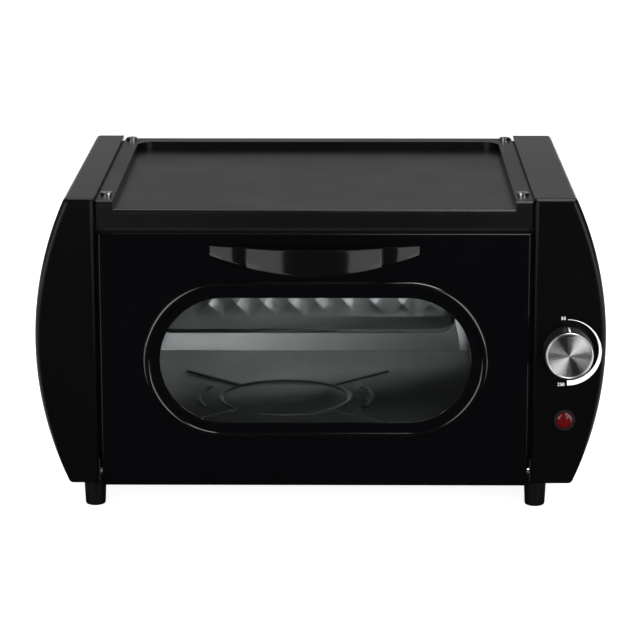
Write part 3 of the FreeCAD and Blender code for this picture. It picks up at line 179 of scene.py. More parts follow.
def turnRing(centre, axis, steps, spread=0.0, sides=96, capStart=True, capEnd=True):
    # a ring of points, extruded and scaled step by step: (radius, place along the axis)
    # spread pulls its two halves apart along X, for pieces with two round ends
    atRest()
    start = math.pi / sides if spread else 0  # no point on the line where the halves part
    tilt = {"Y": (math.pi / 2, start, 0), "Z": (0, 0, start)}[axis]
    along = {"Y": Vector((0, 1, 0)), "Z": Vector((0, 0, 1))}[axis]
    radius, place = steps[0]
    fill = "NGON" if capStart else "NOTHING"
    bpy.ops.mesh.primitive_circle_add(
        vertices=sides, radius=radius, fill_type=fill, location=centre + along * place, rotation=tilt
    )
    piece = settle(bpy.context.object)
    workOn(piece)
    for side in (-1, 1) if spread else ():
        pick("verts", lambda v: side * (v.co.x - centre.x) > 0)
        bpy.ops.transform.translate(value=(side * spread, 0, 0))
    pick("edges", lambda e: True)
    for newRadius, newPlace in steps[1:]:
        bpy.ops.mesh.extrude_edges_move(
            TRANSFORM_OT_translate={"value": tuple(along * (newPlace - place))}
        )
        mesh = bmesh.from_edit_mesh(piece.data)
        mesh.verts.index_update()
        ring = {v.index for v in mesh.verts if v.select}
        factor = newRadius / radius
        for side in (-1, 1) if spread else (0,):
            pick("verts", lambda v: v.index in ring and side * (v.co.x - centre.x) >= 0)
            middle = centre + Vector((side * spread, 0, 0))
            bpy.ops.transform.resize(
                value=tuple(1 if a else factor for a in along), center_override=tuple(middle)
            )
        pick("verts", lambda v: v.index in ring)
        radius, place = newRadius, newPlace
    if capEnd:
        bpy.ops.mesh.edge_face_add()
    atRest()
    mendNormals(piece)
    return piece


def newMaterial(name, baseColor, roughness, metallic=0.0, specular=0.5):
    material = bpy.data.materials.new(name)
    material.use_nodes = True
    shader = material.node_tree.nodes["Principled BSDF"]
    shader.inputs["Base Color"].default_value = (*baseColor, 1)
    shader.inputs["Roughness"].default_value = roughness
    shader.inputs["Metallic"].default_value = metallic
    shader.inputs["Specular IOR Level"].default_value = specular
    shader.inputs["IOR"].default_value = refractiveIndex
    return material


def objectNoise(material, scale, detail, stretch=(1, 1, 1)):
    # a noise field in the piece's own coordinates, in metres
    tree = material.node_tree
    coords = tree.nodes.new("ShaderNodeTexCoord")
    mapping = tree.nodes.new("ShaderNodeMapping")
    mapping.inputs["Scale"].default_value = stretch
    noise = tree.nodes.new("ShaderNodeTexNoise")
    noise.inputs["Scale"].default_value = scale
    noise.inputs["Detail"].default_value = detail
    tree.links.new(coords.outputs["Object"], mapping.inputs["Vector"])
    tree.links.new(mapping.outputs["Vector"], noise.inputs["Vector"])
    return noise.outputs["Fac"]


def remap(material, field, low, high, fromLow=0.3, fromHigh=0.7):
    tree = material.node_tree
    node = tree.nodes.new("ShaderNodeMapRange")
    node.inputs["From Min"].default_value = fromLow
    node.inputs["From Max"].default_value = fromHigh
    node.inputs["To Min"].default_value = low
    node.inputs["To Max"].default_value = high
    tree.links.new(field, node.inputs["Value"])
    return node.outputs["Result"]


def mixColours(material, field, darker, lighter):
    tree = material.node_tree
    node = tree.nodes.new("ShaderNodeMix")
    node.data_type = "RGBA"
    node.inputs["A"].default_value = (*darker, 1)
    node.inputs["B"].default_value = (*lighter, 1)
    tree.links.new(field, node.inputs["Factor"])
    return node.outputs["Result"]


def addBump(material, field, strength, distance):
    tree = material.node_tree
    bump = tree.nodes.new("ShaderNodeBump")
    bump.inputs["Strength"].default_value = strength
    bump.inputs["Distance"].default_value = distance
    tree.links.new(field, bump.inputs["Height"])
    shader = tree.nodes["Principled BSDF"]
    tree.links.new(bump.outputs["Normal"], shader.inputs["Normal"])


def feed(material, output, socket):
    shader = material.node_tree.nodes["Principled BSDF"]
    material.node_tree.links.new(output, shader.inputs[socket])


def shade(colour, factor):
    return tuple(channel * factor for channel in colour)


# in the plans below, a noise is its scale, its detail and sometimes its stretch
glossGrain = {"clouds": (9, 3), "peel": (900, 2), "peelDepth": 0.00012, "lighter": 1.5}

# name, colour, least and most roughness, specular, strength of the peel, radius of the soft edges
glossPlan = {
    "cover_black": ("coverBlack", (0.0013, 0.0013, 0.0015), 0.15, 0.2, 0.2, 0.02, 0.0024),
    "door_black": ("doorEnamel", (0.001, 0.0011, 0.0013), 0.08, 0.12, 0.25, 0.02, 0),
    "bead_black": ("beadEnamel", (0.001, 0.0011, 0.0013), 0.08, 0.12, 0.8, 0.01, 0),
    "handle_black": ("handleBlack", (0.0015, 0.0015, 0.0015), 0.08, 0.12, 0.28, 0.01, 0),
    "knob_black": ("knobBlack", (0.006, 0.006, 0.006), 0.2, 0.3, 0.5, 0.02, 0),
}


def makeGlossBlack(name, colour, roughLow, roughHigh, specular, peel, edge):
    # glossy black with a faint orange peel and slow cloudy changes of gloss
    grain = glossGrain
    material = newMaterial(name, colour, roughLow, specular=specular)
    clouds = objectNoise(material, *grain["clouds"])
    feed(material, remap(material, clouds, roughLow, roughHigh), "Roughness")
    lighter = shade(colour, grain["lighter"])
    feed(material, mixColours(material, clouds, colour, lighter), "Base Color")
    addBump(material, objectNoise(material, *grain["peel"]), peel, grain["peelDepth"])
    if edge:
        softEdge = material.node_tree.nodes.new("ShaderNodeBevel")  # rounder edges than the mesh has
        softEdge.inputs["Radius"].default_value = edge
        bump = material.node_tree.nodes["Bump"]
        material.node_tree.links.new(softEdge.outputs["Normal"], bump.inputs["Normal"])
    return material


coatPlan = {
    "name": "griddleCoat",
    "colour": (0.002, 0.002, 0.0022),
    "rough": (0.26, 0.32),
    "specular": 0.3,
    "clouds": (14, 5),
    "speckle": (1600, 2),
    "lighter": 1.35,
    "bump": (0.25, 0.00008),
}


def makeSatinCoat(plan):
    # non-stick coat: fine speckle, fine grain in the bump
    colour = plan["colour"]
    material = newMaterial(plan["name"], colour, plan["rough"][0], specular=plan["specular"])
    clouds = objectNoise(material, *plan["clouds"])
    speckle = objectNoise(material, *plan["speckle"])
    feed(material, remap(material, clouds, *plan["rough"]), "Roughness")
    feed(material, mixColours(material, speckle, colour, shade(colour, plan["lighter"])), "Base Color")
    addBump(material, speckle, *plan["bump"])
    return material


sheetPlan = {
    "name": "galvanisedSheet",
    "colour": (0.4, 0.4, 0.41),
    "rough": (0.35, 0.5),
    "streaks": (60, 6, (1, 1, 8)),
    "blotches": (22, 3),
    "darker": 0.86,
}


def makeSheetSteel(plan):
    # rolled sheet: streaks along one way, faint blotches
    colour = plan["colour"]
    material = newMaterial(plan["name"], colour, plan["rough"][0], metallic=1.0)
    streaks = objectNoise(material, *plan["streaks"])
    blotches = objectNoise(material, *plan["blotches"])
    feed(material, remap(material, streaks, *plan["rough"]), "Roughness")
    feed(material, mixColours(material, blotches, shade(colour, plan["darker"]), colour), "Base Color")
    return material


cavityGrain = {
    "smudges": (12, 3, (2, 1, 1)),
    "rough": (-0.02, 0.03),  # added to a finish's own roughness
    "darker": 0.85,
    # painted shade: the colour is scaled by this where shade falls in folds, along ribs and in the groove
    "paintedShadeTone": 0.12,
    "foldReach": 0.006,
    "foldRange": (0.45, 0.85),
    "grooveRange": (0.0003, 0.0011),  # behind the wall's face, where the groove gets painted shade
}

# name, colour, roughness, metallic, and for the wall the place of its face
cavityPlan = {
    "cavity_steel": ("cavitySheet", (0.26, 0.265, 0.27), 0.4, 0.85, None),
    "wall_steel": ("cavityWallSheet", (0.25, 0.258, 0.262), 0.38, 0.94, cavityFace),
    "floor_steel": ("cavityFloorSheet", (0.075, 0.077, 0.08), 0.32, 0.7, None),
}


def makeCavitySteel(name, colour, rough, metallic, wallFace):
    # sheet seen through the window: soft smudges, with painted shade in its folds and along its ribs, and on
    # the back wall in its groove
    grain = cavityGrain
    material = newMaterial(name, colour, rough, metallic=metallic)
    tree = material.node_tree
    smudges = objectNoise(material, *grain["smudges"])
    least, most = grain["rough"]
    feed(material, remap(material, smudges, rough + least, rough + most), "Roughness")
    unshadedColour = mixColours(material, smudges, shade(colour, grain["darker"]), colour)
    if wallFace is None:
        # painted shade: ambient occlusion darkens the colour in folds and along the ribs
        folds = tree.nodes.new("ShaderNodeAmbientOcclusion")
        folds.inputs["Distance"].default_value = grain["foldReach"]
        unshadedShare = remap(material, folds.outputs["AO"], 0, 1, *grain["foldRange"])
    else:
        # painted shade: the colour darkens behind the wall's face, inside the groove
        coords = tree.nodes.new("ShaderNodeTexCoord")
        parts = tree.nodes.new("ShaderNodeSeparateXYZ")
        tree.links.new(coords.outputs["Object"], parts.inputs["Vector"])
        least, most = grain["grooveRange"]
        unshadedShare = remap(material, parts.outputs["Y"], 1, 0, wallFace + least, wallFace + most)
    # mixes the painted shade tone in wherever the unshaded share drops
    mix = tree.nodes.new("ShaderNodeMix")
    mix.data_type = "RGBA"
    mix.inputs["A"].default_value = (*shade(colour, grain["paintedShadeTone"]), 1)
    tree.links.new(unshadedShare, mix.inputs["Factor"])
    tree.links.new(unshadedColour, mix.inputs["B"])
    feed(material, mix.outputs["Result"], "Base Color")
    return material


plainGrain = {"detail": 3, "depth": 0.0001, "rough": (0.9, 1.15)}

# name, colour, roughness, metallic, scale of the speckle, its darkest factor, strength of the bump
plainPlan = {
    "screw_steel": ("platedSteel", (0.62, 0.62, 0.63), 0.22, 1.0, 900, 0.8, 0.05),
    "heater_steel": ("heaterSheath", (0.16, 0.15, 0.145), 0.45, 1.0, 300, 0.6, 0.15),
    "ceramic_white": ("ceramicWhite", (0.78, 0.76, 0.71), 0.6, 0.0, 500, 0.93, 0.12),
    "gasket_black": ("siliconeBlack", (0.012, 0.012, 0.012), 0.6, 0.0, 700, 0.7, 0.1),
    "foot_black": ("footRubber", (0.0022, 0.0022, 0.0022), 0.35, 0.0, 800, 0.7, 0.15),
    "lens_red": ("lensRed", (0.07, 0.0018, 0.0026), 0.12, 0.0, 200, 0.7, 0.02),
    "copper_capillary": ("copper", (0.66, 0.33, 0.2), 0.35, 1.0, 500, 0.8, 0.05),
    "wire_sheath": ("wireSleeve", (0.62, 0.6, 0.55), 0.8, 0.0, 1500, 0.8, 0.3),
    "inner_plastic": ("innerMoulding", (0.03, 0.03, 0.032), 0.5, 0.0, 600, 0.8, 0.1),
    "bush_brass": ("bushBrass", (0.6, 0.45, 0.2), 0.3, 1.0, 600, 0.85, 0.05),
    "frame_dark": ("frameDark", (0.006, 0.006, 0.006), 0.5, 0.0, 700, 0.7, 0.1),
    "polished": ("polishedRing", (0.9, 0.9, 0.91), 0.3, 1.0, 700, 0.92, 0.02),
    "print_white": ("dialInk", (0.82, 0.82, 0.82), 0.55, 0.0, 1500, 0.94, 0.05),
}


def makePlain(name, colour, rough, metallic, speckleScale, darkest, bump):
    material = newMaterial(name, colour, rough, metallic=metallic)
    speckle = objectNoise(material, speckleScale, plainGrain["detail"])
    feed(material, mixColours(material, speckle, shade(colour, darkest), colour), "Base Color")
    least, most = plainGrain["rough"]
    feed(material, remap(material, speckle, rough * least, rough * most), "Roughness")
    addBump(material, speckle, bump, plainGrain["depth"])
    return material


glassPlan = {
    "name": "windowGlass",
    "colour": (0.86, 0.88, 0.87),
    "rough": (0.01, 0.05),
    "smears": (30, 4),
}


def makeGlass(plan):
    material = newMaterial(plan["name"], plan["colour"], plan["rough"][0])
    shader = material.node_tree.nodes["Principled BSDF"]
    shader.inputs["Transmission Weight"].default_value = 1.0
    smears = objectNoise(material, *plan["smears"])
    feed(material, remap(material, smears, *plan["rough"]), "Roughness")
    tree = material.node_tree
    path = tree.nodes.new("ShaderNodeLightPath")
    clear = tree.nodes.new("ShaderNodeBsdfTransparent")  # lets the lamps reach the cavity
    clear.inputs["Color"].default_value = (*plan["colour"], 1)
    mix = tree.nodes.new("ShaderNodeMixShader")
    tree.links.new(path.outputs["Is Shadow Ray"], mix.inputs["Fac"])
    tree.links.new(shader.outputs["BSDF"], mix.inputs[1])
    tree.links.new(clear.outputs["BSDF"], mix.inputs[2])
    tree.links.new(mix.outputs["Shader"], tree.nodes["Material Output"].inputs["Surface"])
    return material


spunPlan = {
    "name": "spunAluminium",
    "colour": (0.88, 0.88, 0.89),
    "rough": 0.27,
    "drawnOut": 1.0,
    "quarterTurn": 0.25,
}


def makeSpunMetal(plan):
    # spun disc: a reflection drawn out by a tangent that runs round the axis
    material = newMaterial(plan["name"], plan["colour"], plan["rough"], metallic=1.0)
    tree = material.node_tree
    shader = tree.nodes["Principled BSDF"]
    shader.inputs["Anisotropic"].default_value = plan["drawnOut"]
    shader.inputs["Anisotropic Rotation"].default_value = plan["quarterTurn"]
    tangent = tree.nodes.new("ShaderNodeTangent")
    tangent.direction_type = "RADIAL"
    tangent.axis = "Y"
    tree.links.new(tangent.outputs["Tangent"], shader.inputs["Tangent"])
    return material


# nodes whose finish isn't the one of their slot
ownFinish = {
    "front_frame": "frame_dark",
    "left_casing_panel": "frame_dark",
    "right_casing_panel": "frame_dark",
    "left_hinge_plate": "frame_dark",
    "right_hinge_plate": "frame_dark",
    "lamp_bezel": "knob_black",
}


def makeMaterials():
    made = {slotName: makeGlossBlack(*row) for slotName, row in glossPlan.items()}
    made.update({slotName: makeCavitySteel(*row) for slotName, row in cavityPlan.items()})
    made.update({slotName: makePlain(*row) for slotName, row in plainPlan.items()})
    made["griddle_grey"] = makeSatinCoat(coatPlan)
    made["casing_steel"] = makeSheetSteel(sheetPlan)
    made["glass_clear"] = makeGlass(glassPlan)
    made["knob_metal"] = makeSpunMetal(spunPlan)
    for entry in frame["record"]["subparts"]:
        node = frame["nodes"][entry["node"]]
        node.data.materials.clear()
        node.data.materials.append(made[ownFinish.get(entry["node"], entry["material_slot"])])
    print("materials on the frame")
    return made


finishes = makeMaterials()


handlePlan = {
    "half": 0.0875,
    "grip": 0.057,
    "column": 0.0015,
    "gripProud": 0.0205,
    "gripEndProud": 0.0105,
    "lean": 0.0032,  # how much further out the lower edge stands
    "swell": 0.0004,
    "earProud": 0.0058,
    "earFlat": 0.059,
    "gap": 0.011,
    "slab": 0.01,  # thickness before the back is hollowed
    "rows": 12,
    "rowSlack": 0.0002,  # how near a point has to be to count as in a row or column
    "columnSlack": 0.0003,
    "gripSlack": 0.0001,
    "top": 0.231,
    "low": 0.2098,
    "endLow": 0.2235,
    "rounding": 0.0025,
}


def gripReach(x):
    # how far the front face stands out at a place across
    plan = handlePlan
    x = abs(x)
    if x < plan["grip"] + plan["gripSlack"]:
        drop = plan["gripProud"] - plan["gripEndProud"]
        return plan["gripProud"] - drop * (x / plan["grip"]) ** 2
    share = max(0.0, (x - plan["earFlat"]) / (plan["half"] - plan["earFlat"]))
    return plan["earProud"] * (1 - share ** 2)


def makeHandle():
    plan = handlePlan
    front = doorFace
    middle = front + plan["slab"] / 2
    columns = round(2 * plan["half"] / plan["column"])
    rows = plan["rows"]
    height = plan["top"] - plan["low"]
    atRest()
    bpy.ops.mesh.primitive_grid_add(
        x_subdivisions=columns,
        y_subdivisions=rows,
        size=1,
        location=(ovenMiddle, front, plan["low"] + height / 2),
        rotation=(math.pi / 2, 0, 0),
    )
    handle = bpy.context.object
    handle.scale = (2 * plan["half"], height, 1)
    settle(handle)
    workOn(handle)
    pick("faces", lambda f: True)
    bpy.ops.mesh.extrude_region_move(TRANSFORM_OT_translate={"value": (0, plan["slab"], 0)})
    for row in range(rows + 1):
        share = row / rows
        z = plan["low"] + height * share
        forward = plan["lean"] * (1 - share) + plan["swell"] * (1 - (2 * share - 1) ** 2)
        pick("verts", lambda v: abs(v.co.z - z) < plan["rowSlack"] and v.co.y < middle)
        bpy.ops.transform.translate(value=(0, -forward, 0))
    for number in range(columns + 1):
        x = (number / columns * 2 - 1) * plan["half"]
        low = plan["low"] + (plan["endLow"] - plan["low"]) * (x / plan["half"]) ** 2
        shrink = (plan["top"] - low) / height
        pivot = (ovenMiddle + x, front, plan["top"])
        pick("verts", lambda v: abs(v.co.x - pivot[0]) < plan["columnSlack"])
        bpy.ops.transform.resize(value=(1, 1, shrink), center_override=pivot)
        pick("verts", lambda v: abs(v.co.x - pivot[0]) < plan["columnSlack"] and v.co.y < middle)
        bpy.ops.transform.resize(value=(1, shrink, 1), center_override=pivot)
        bpy.ops.transform.translate(value=(0, -gripReach(x), 0))
        pick("verts", lambda v: abs(v.co.x - pivot[0]) < plan["columnSlack"] and v.co.y > middle)
        back = plan["gap"] * max(0.0, 1 - (x / plan["grip"]) ** 2)
        bpy.ops.transform.translate(value=(0, -plan["slab"] - back, 0))
    atRest()
    mendNormals(handle)
    roundEdges(handle, plan["rounding"], segments=4, angle=50)
    finishPiece(handle, "doorHandle", finishes["handle_black"], "handle_black", "door", "door_handle")


beadPlan = {
    "straightHalf": 0.077,
    "middle": (0.001, 0.1326),  # right of the oven's middle, above the table
    "inner": 0.0624,
    "outer": 0.0680,
    "proud": 0.0021,
    "steps": 14,
}


def makeWindowBead():
    # the pressed bead round the window: a rolled ring with two straight runs
    plan = beadPlan
    centre = Vector((ovenMiddle + plan["middle"][0], doorFace, plan["middle"][1]))
    wide = (plan["outer"] - plan["inner"]) / 2
    steps = []
    for number in range(plan["steps"] + 1):
        turn = math.pi * number / plan["steps"]
        steps.append((plan["inner"] + wide - wide * math.cos(turn), -plan["proud"] * math.sin(turn)))
    bead = turnRing(centre, "Y", steps, spread=plan["straightHalf"], capStart=False, capEnd=False)
    finishPiece(bead, "windowBead", finishes["bead_black"], "door_black", "door", smooth=60)


# each outline is a list of (radius, place along the axis), from the cover's front
knobPlan = {
    "skirt": [
        (0.0031, -0.001), (0.0211, -0.001), (0.0211, -0.0035), (0.0208, -0.0043), (0.0204, -0.0186),
        (0.0202, -0.0195), (0.0204, -0.0201), (0.0199, -0.0202), (0.0198, -0.0196), (0.0031, -0.0196),
    ],
    "ring": [
        (0.0198, -0.0196), (0.0198, -0.0203), (0.0196, -0.0207), (0.0193, -0.0210),
        (0.0190, -0.0211), (0.0187, -0.0210), (0.0184, -0.0207), (0.0181, -0.0196),
    ],
    "disc": [
        (0.01805, -0.0196), (0.01805, -0.0203), (0.0178, -0.0205), (0.002, -0.0205), (0.0002, -0.02048),
    ],
    "discSides": 128,
    "skirtRound": 0.0002,
    "tick": (0.0013, 0.0135, 0.0011),
    "tickFront": -0.0194,
    "tickHeight": 0.0204,
    "tickRound": 0.00025,
}


def makeKnob():
    plan = knobPlan
    axis = Vector((knobMiddle[0], coverFront, knobMiddle[1]))
    skirt = turnRing(axis, "Y", plan["skirt"], capStart=False)
    roundEdges(skirt, plan["skirtRound"], segments=2, angle=30)
    finishPiece(skirt, "knobSkirt", finishes["knob_black"], "knob_black", "knob", "knob_body")

    ring = turnRing(axis, "Y", plan["ring"], capStart=False, capEnd=False)
    finishPiece(ring, "knobBrightRing", finishes["polished"], "knob_metal", "knob", smooth=60)

    disc = turnRing(axis, "Y", plan["disc"], sides=plan["discSides"])
    finishPiece(disc, "knobSpunDisc", finishes["knob_metal"], "knob_metal", "knob", "knob_cap")

    atRest()
    place = axis + Vector((0, plan["tickFront"] + plan["tick"][1] / 2, plan["tickHeight"]))
    bpy.ops.mesh.primitive_cube_add(size=1, location=place)
    tick = bpy.context.object
    tick.scale = plan["tick"]
    settle(tick)
    roundEdges(tick, plan["tickRound"], segments=2)
    finishPiece(tick, "knobPointer", finishes["print_white"], "knob_metal", "knob")


dialPlan = {
    "inner": 0.0262,
    "outer": 0.0285,
    "drop": 0.0019,  # the outer circle sits lower, so the arc swells
    "thick": 0.00012,
    "numbers": [("50", -0.0022, 0.0273), ("250", -0.0022, -0.0297)],
    "height": 0.0040,
    "lift": 0.00002,  # off the cover's front
    "sides": 160,
}


def makeDialPrint():
    plan = dialPlan
    axis = Vector((knobMiddle[0], coverFront - plan["lift"], knobMiddle[1]))
    atRest()
    bpy.ops.mesh.primitive_circle_add(
        vertices=plan["sides"],
        radius=plan["inner"],
        fill_type="NOTHING",
        location=axis,
        rotation=(math.pi / 2, 0, 0),
    )
    arc = settle(bpy.context.object)
    workOn(arc)
    pick("edges", lambda e: True)
    bpy.ops.mesh.extrude_edges_move(TRANSFORM_OT_translate={"value": (0, 0, -plan["drop"])})
    factor = plan["outer"] / plan["inner"]
    pivot = (axis.x, axis.y, axis.z - plan["drop"])
    bpy.ops.transform.resize(value=(factor, 1, factor), center_override=pivot)
    bpy.ops.mesh.select_all(action="SELECT")
    bpy.ops.mesh.bisect(plane_co=axis, plane_no=(1, 0, 0), clear_inner=True)
    bpy.ops.mesh.select_all(action="SELECT")
    bpy.ops.mesh.extrude_region_move(TRANSFORM_OT_translate={"value": (0, -plan["thick"], 0)})
    atRest()
    pieces = [arc]
    for words, right, height in plan["numbers"]:
        bpy.ops.object.text_add()
        label = bpy.context.object
        label.data.body = words
        label.data.size = plan["height"]
        label.data.align_x = "RIGHT"
        label.data.align_y = "CENTER"
        label.data.extrude = plan["thick"] / 2
        atRest()
        label.select_set(True)
        bpy.context.view_layer.objects.active = label
        bpy.ops.object.convert(target="MESH")
        label = bpy.context.object
        label.rotation_euler = (math.pi / 2, 0, 0)
        label.location = axis + Vector((right, -plan["thick"] / 2, height))
        pieces.append(settle(label))
    dial = joinPieces(pieces)
    mendNormals(dial)
    finishPiece(dial, "dialPrint", finishes["print_white"], "knob_metal", "oven", smooth=0)


# the outline is a list of (radius, place along the axis), from the cover's front
lampLensPlan = {
    "facets": 14,
    "outline": [
        (0.00695, 0.006), (0.00695, -0.0016), (0.006394, -0.0023), (0.004587, -0.0031), (0.002085, -0.0035),
    ],
}


def makeLampLens():
    plan = lampLensPlan
    axis = Vector((lensMiddle[0], coverFront, lensMiddle[1]))
    lens = turnRing(axis, "Y", plan["outline"], sides=plan["facets"])
    finishPiece(lens, "lampLens", finishes["lens_red"], "lens_red", "oven", "lamp_lens", smooth=0)


backWallPlan = {
    "studs": (10, 4),
    "pitch": 0.0261,
    "base": 0.022,
    "proud": 0.0052,
    "firstColumn": -0.1293,
    "firstRow": 0.1163,
    "grooveLeft": -0.153,
    "grooveRight": 0.1295,
    "grooveLow": 0.087,
    "grooveHigh": 0.222,
    "grooveWide": 0.0036,
    "grooveDeep": 0.002,
    "thick": 0.0028,
    "corner": 0.014,
    "cornerSteps": 8,
    "edge": 0.0005,
    "studLift": 0.0001,
    "studTip": 0.0002,
}


def roundedBlock(centre, spanX, spanY, spanZ, corner):
    # a block whose four edges along Y are rounded
    atRest()
    bpy.ops.mesh.primitive_cube_add(size=1, location=centre)
    block = bpy.context.object
    block.scale = (spanX, spanY, spanZ)
    settle(block)
    workOn(block)
    pick("edges", lambda e: abs(e.verts[0].co.y - e.verts[1].co.y) > spanY / 2)
    bpy.ops.mesh.bevel(offset=corner, segments=backWallPlan["cornerSteps"], affect="EDGES")
    atRest()
    mendNormals(block)
    return block


def makeBackWall():
    plan = backWallPlan
    wallLow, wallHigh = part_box("cavity_back_wall")
    face = cavityFace
    atRest()
    bpy.ops.mesh.primitive_cube_add(size=1, location=(wallLow + wallHigh) / 2)
    wall = bpy.context.object
    wall.scale = (wallHigh.x - wallLow.x, plan["thick"], wallHigh.z - wallLow.z)
    wall.location.y = face + plan["thick"] / 2
    settle(wall)

    spanX = plan["grooveRight"] - plan["grooveLeft"]
    spanZ = plan["grooveHigh"] - plan["grooveLow"]
    centre = (
        ovenMiddle + (plan["grooveLeft"] + plan["grooveRight"]) / 2,
        face,
        (plan["grooveLow"] + plan["grooveHigh"]) / 2,
    )
    wide, deep = plan["grooveWide"], plan["grooveDeep"]
    # a recess as deep as the groove, filled again inside the groove
    cutWith(wall, roundedBlock(centre, spanX, 2 * deep, spanZ, plan["corner"]))
    roundEdges(wall, plan["edge"], angle=50)
    fillCentre = (centre[0], face + deep / 2, centre[2])
    inner = roundedBlock(fillCentre, spanX - 2 * wide, deep, spanZ - 2 * wide, plan["corner"] - wide)
    roundEdges(inner, plan["edge"], angle=50)

    columns, rows = plan["studs"]
    pitch = plan["pitch"]
    atRest()
    bpy.ops.mesh.primitive_grid_add(
        x_subdivisions=columns,
        y_subdivisions=rows,
        size=1,
        location=(
            ovenMiddle + plan["firstColumn"] + pitch * (columns - 1) / 2,
            face - plan["studLift"],
            plan["firstRow"] + pitch * (rows - 1) / 2,
        ),
        rotation=(math.pi / 2, 0, 0),
    )
    studs = bpy.context.object
    studs.scale = (columns * pitch, rows * pitch, 1)
    settle(studs)
    workOn(studs)
    pick("faces", lambda f: True)
    bpy.ops.mesh.inset(thickness=(pitch - plan["base"]) / 2, use_individual=True)
    bpy.ops.mesh.inset(thickness=plan["base"] / 2 - plan["studTip"], depth=plan["proud"], use_individual=True)
    atRest()
    joined = joinPieces([wall, inner, studs])
    finishPiece(
        joined, "cavityBackWall", finishes["wall_steel"], "cavity_steel", "oven", "cavity_back_wall",
        smooth=15,
    )


floorPlan = {
    "centre": (-0.027, 0.115),
    "ring": 0.0575,
    "ribHalf": 0.0026,
    "ribProud": 0.0016,
    "ribTurns": (0, 30, 60, 90, 120, 150, 180),  # degrees over a rib's round top
    "armTurns": (0, 25, 50, 75),
    "armSides": 30,
    "armEnd": 0.128,
    "outerRing": 0.077,
    "outerSides": 120,
    "outerSpread": 26,  # degrees either side of straight across
    "sheetRound": 0.0002,
    "sink": 0.00005,  # the ribs start a little inside the sheet
}


def ribSteps(radius, turns):
    half, proud = floorPlan["ribHalf"], floorPlan["ribProud"]
    return [
        (radius + half * math.cos(math.radians(turn)), proud * math.sin(math.radians(turn)))
        for turn in turns
    ]


def makeCavityFloor():
    plan = floorPlan
    low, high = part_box("cavity_floor")
    top = high.z - plan["ribProud"]
    atRest()
    middle = ((low.x + high.x) / 2, (low.y + high.y) / 2, (low.z + top) / 2)
    bpy.ops.mesh.primitive_cube_add(size=1, location=middle)
    sheet = bpy.context.object
    sheet.scale = (high.x - low.x, high.y - low.y, top - low.z)
    settle(sheet)
    roundEdges(sheet, plan["sheetRound"], segments=2)
    across, back = plan["centre"]
    centre = Vector((ovenMiddle + across, coverFront + back, top - plan["sink"]))
    ring = turnRing(centre, "Z", ribSteps(plan["ring"], plan["ribTurns"]), capStart=False, capEnd=False)
    pieces = [sheet, ring]
    length = plan["armEnd"] - plan["ring"]
    reach = plan["ring"] + length / 2
    for quarter in range(4):
        turn = math.radians(45 + 90 * quarter)
        steps = ribSteps(0, plan["armTurns"])
        arm = turnRing(centre, "Z", steps, spread=length / 2, sides=plan["armSides"], capStart=False)
        workOn(arm)
        bpy.ops.mesh.select_all(action="SELECT")
        bpy.ops.transform.rotate(value=-turn, orient_axis="Z", center_override=tuple(centre))
        bpy.ops.transform.translate(value=(reach * math.cos(turn), reach * math.sin(turn), 0))
        atRest()
        pieces.append(arm)
    steps = ribSteps(plan["outerRing"], plan["ribTurns"])
    outer = turnRing(centre, "Z", steps, sides=plan["outerSides"], capStart=False, capEnd=False)
    workOn(outer)
    limit = math.sin(math.radians(plan["outerSpread"])) * plan["outerRing"]
    pick("faces", lambda f: abs(f.calc_center_median().y - centre.y) > limit)
    bpy.ops.mesh.delete(type="FACE")
    atRest()
    pieces.append(outer)
    joined = joinPieces(pieces)
    finishPiece(
        joined, "cavityFloor", finishes["floor_steel"], "cavity_steel", "oven", "cavity_floor", smooth=50
    )


makeHandle()
makeWindowBead()
makeKnob()
makeDialPrint()
makeLampLens()
makeBackWall()
makeCavityFloor()


# camera fitted to the photograph, in the frame's own metres
cameraView = {
    "place": (0.023, -2.354, 0.695),
    "pitch": 76.56,
    "roll": 0.06,
    "yaw": 0.59,
    "lens": 152.4,
    "sensor": 36,
    "reach": 50,
}


def addCamera():
    data = bpy.data.cameras.new("photoCamera")
    data.lens = cameraView["lens"]
    data.sensor_width = cameraView["sensor"]
    data.clip_end = cameraView["reach"]
    camera = bpy.data.objects.new("photoCamera", data)
    bpy.context.scene.collection.objects.link(camera)
    camera.location = cameraView["place"]
    camera.rotation_euler = [
        math.radians(cameraView["pitch"]),
        math.radians(cameraView["roll"]),
        math.radians(cameraView["yaw"]),
    ]
    bpy.context.scene.camera = camera
    print("camera placed")


stagePlan = {
    "floorHalf": 12.0,
    "floorGrey": 0.8,
    "floorGlow": 0.8,  # white seen by the lens, with the shadow laid over it
    "floorSheen": 1.4,  # what gloss sees of the floor beside the black card
    "cardHalf": (0.2, 0.28),  # black card on the floor in front, its soft edge
    "cardSpread": 0.6,  # how much wider it gets towards the lens
    "skyFront": 0.02,
    "skyBack": 0.27,
    "skyFill": 0.35,
    "skyRange": (-0.2, 0.6),  # from the front to the back
    "behindRange": (-0.1, 0.3),  # from here back the card ends
    "cardGlow": 0.01,
    "floorHeight": -0.0002,
}


def lightPathMix(tree, name, seenOutput, otherOutput):
    path = tree.nodes.new("ShaderNodeLightPath")
    mix = tree.nodes.new("ShaderNodeMixShader")
    tree.links.new(path.outputs[name], mix.inputs["Fac"])
    tree.links.new(otherOutput, mix.inputs[1])
    tree.links.new(seenOutput, mix.inputs[2])
    return mix.outputs["Shader"]


def rampOver(tree, field, fromLow, fromHigh, low, high):
    ramp = tree.nodes.new("ShaderNodeMapRange")
    ramp.interpolation_type = "SMOOTHSTEP"
    ramp.inputs["From Min"].default_value = fromLow
    ramp.inputs["From Max"].default_value = fromHigh
    ramp.inputs["To Min"].default_value = low
    ramp.inputs["To Max"].default_value = high
    tree.links.new(field, ramp.inputs["Value"])
    return ramp.outputs["Result"]


def whiteSky(tree, strength):
    sky = tree.nodes.new("ShaderNodeBackground")
    sky.inputs["Color"].default_value = (1, 1, 1, 1)
    sky.inputs["Strength"].default_value = strength
    return sky


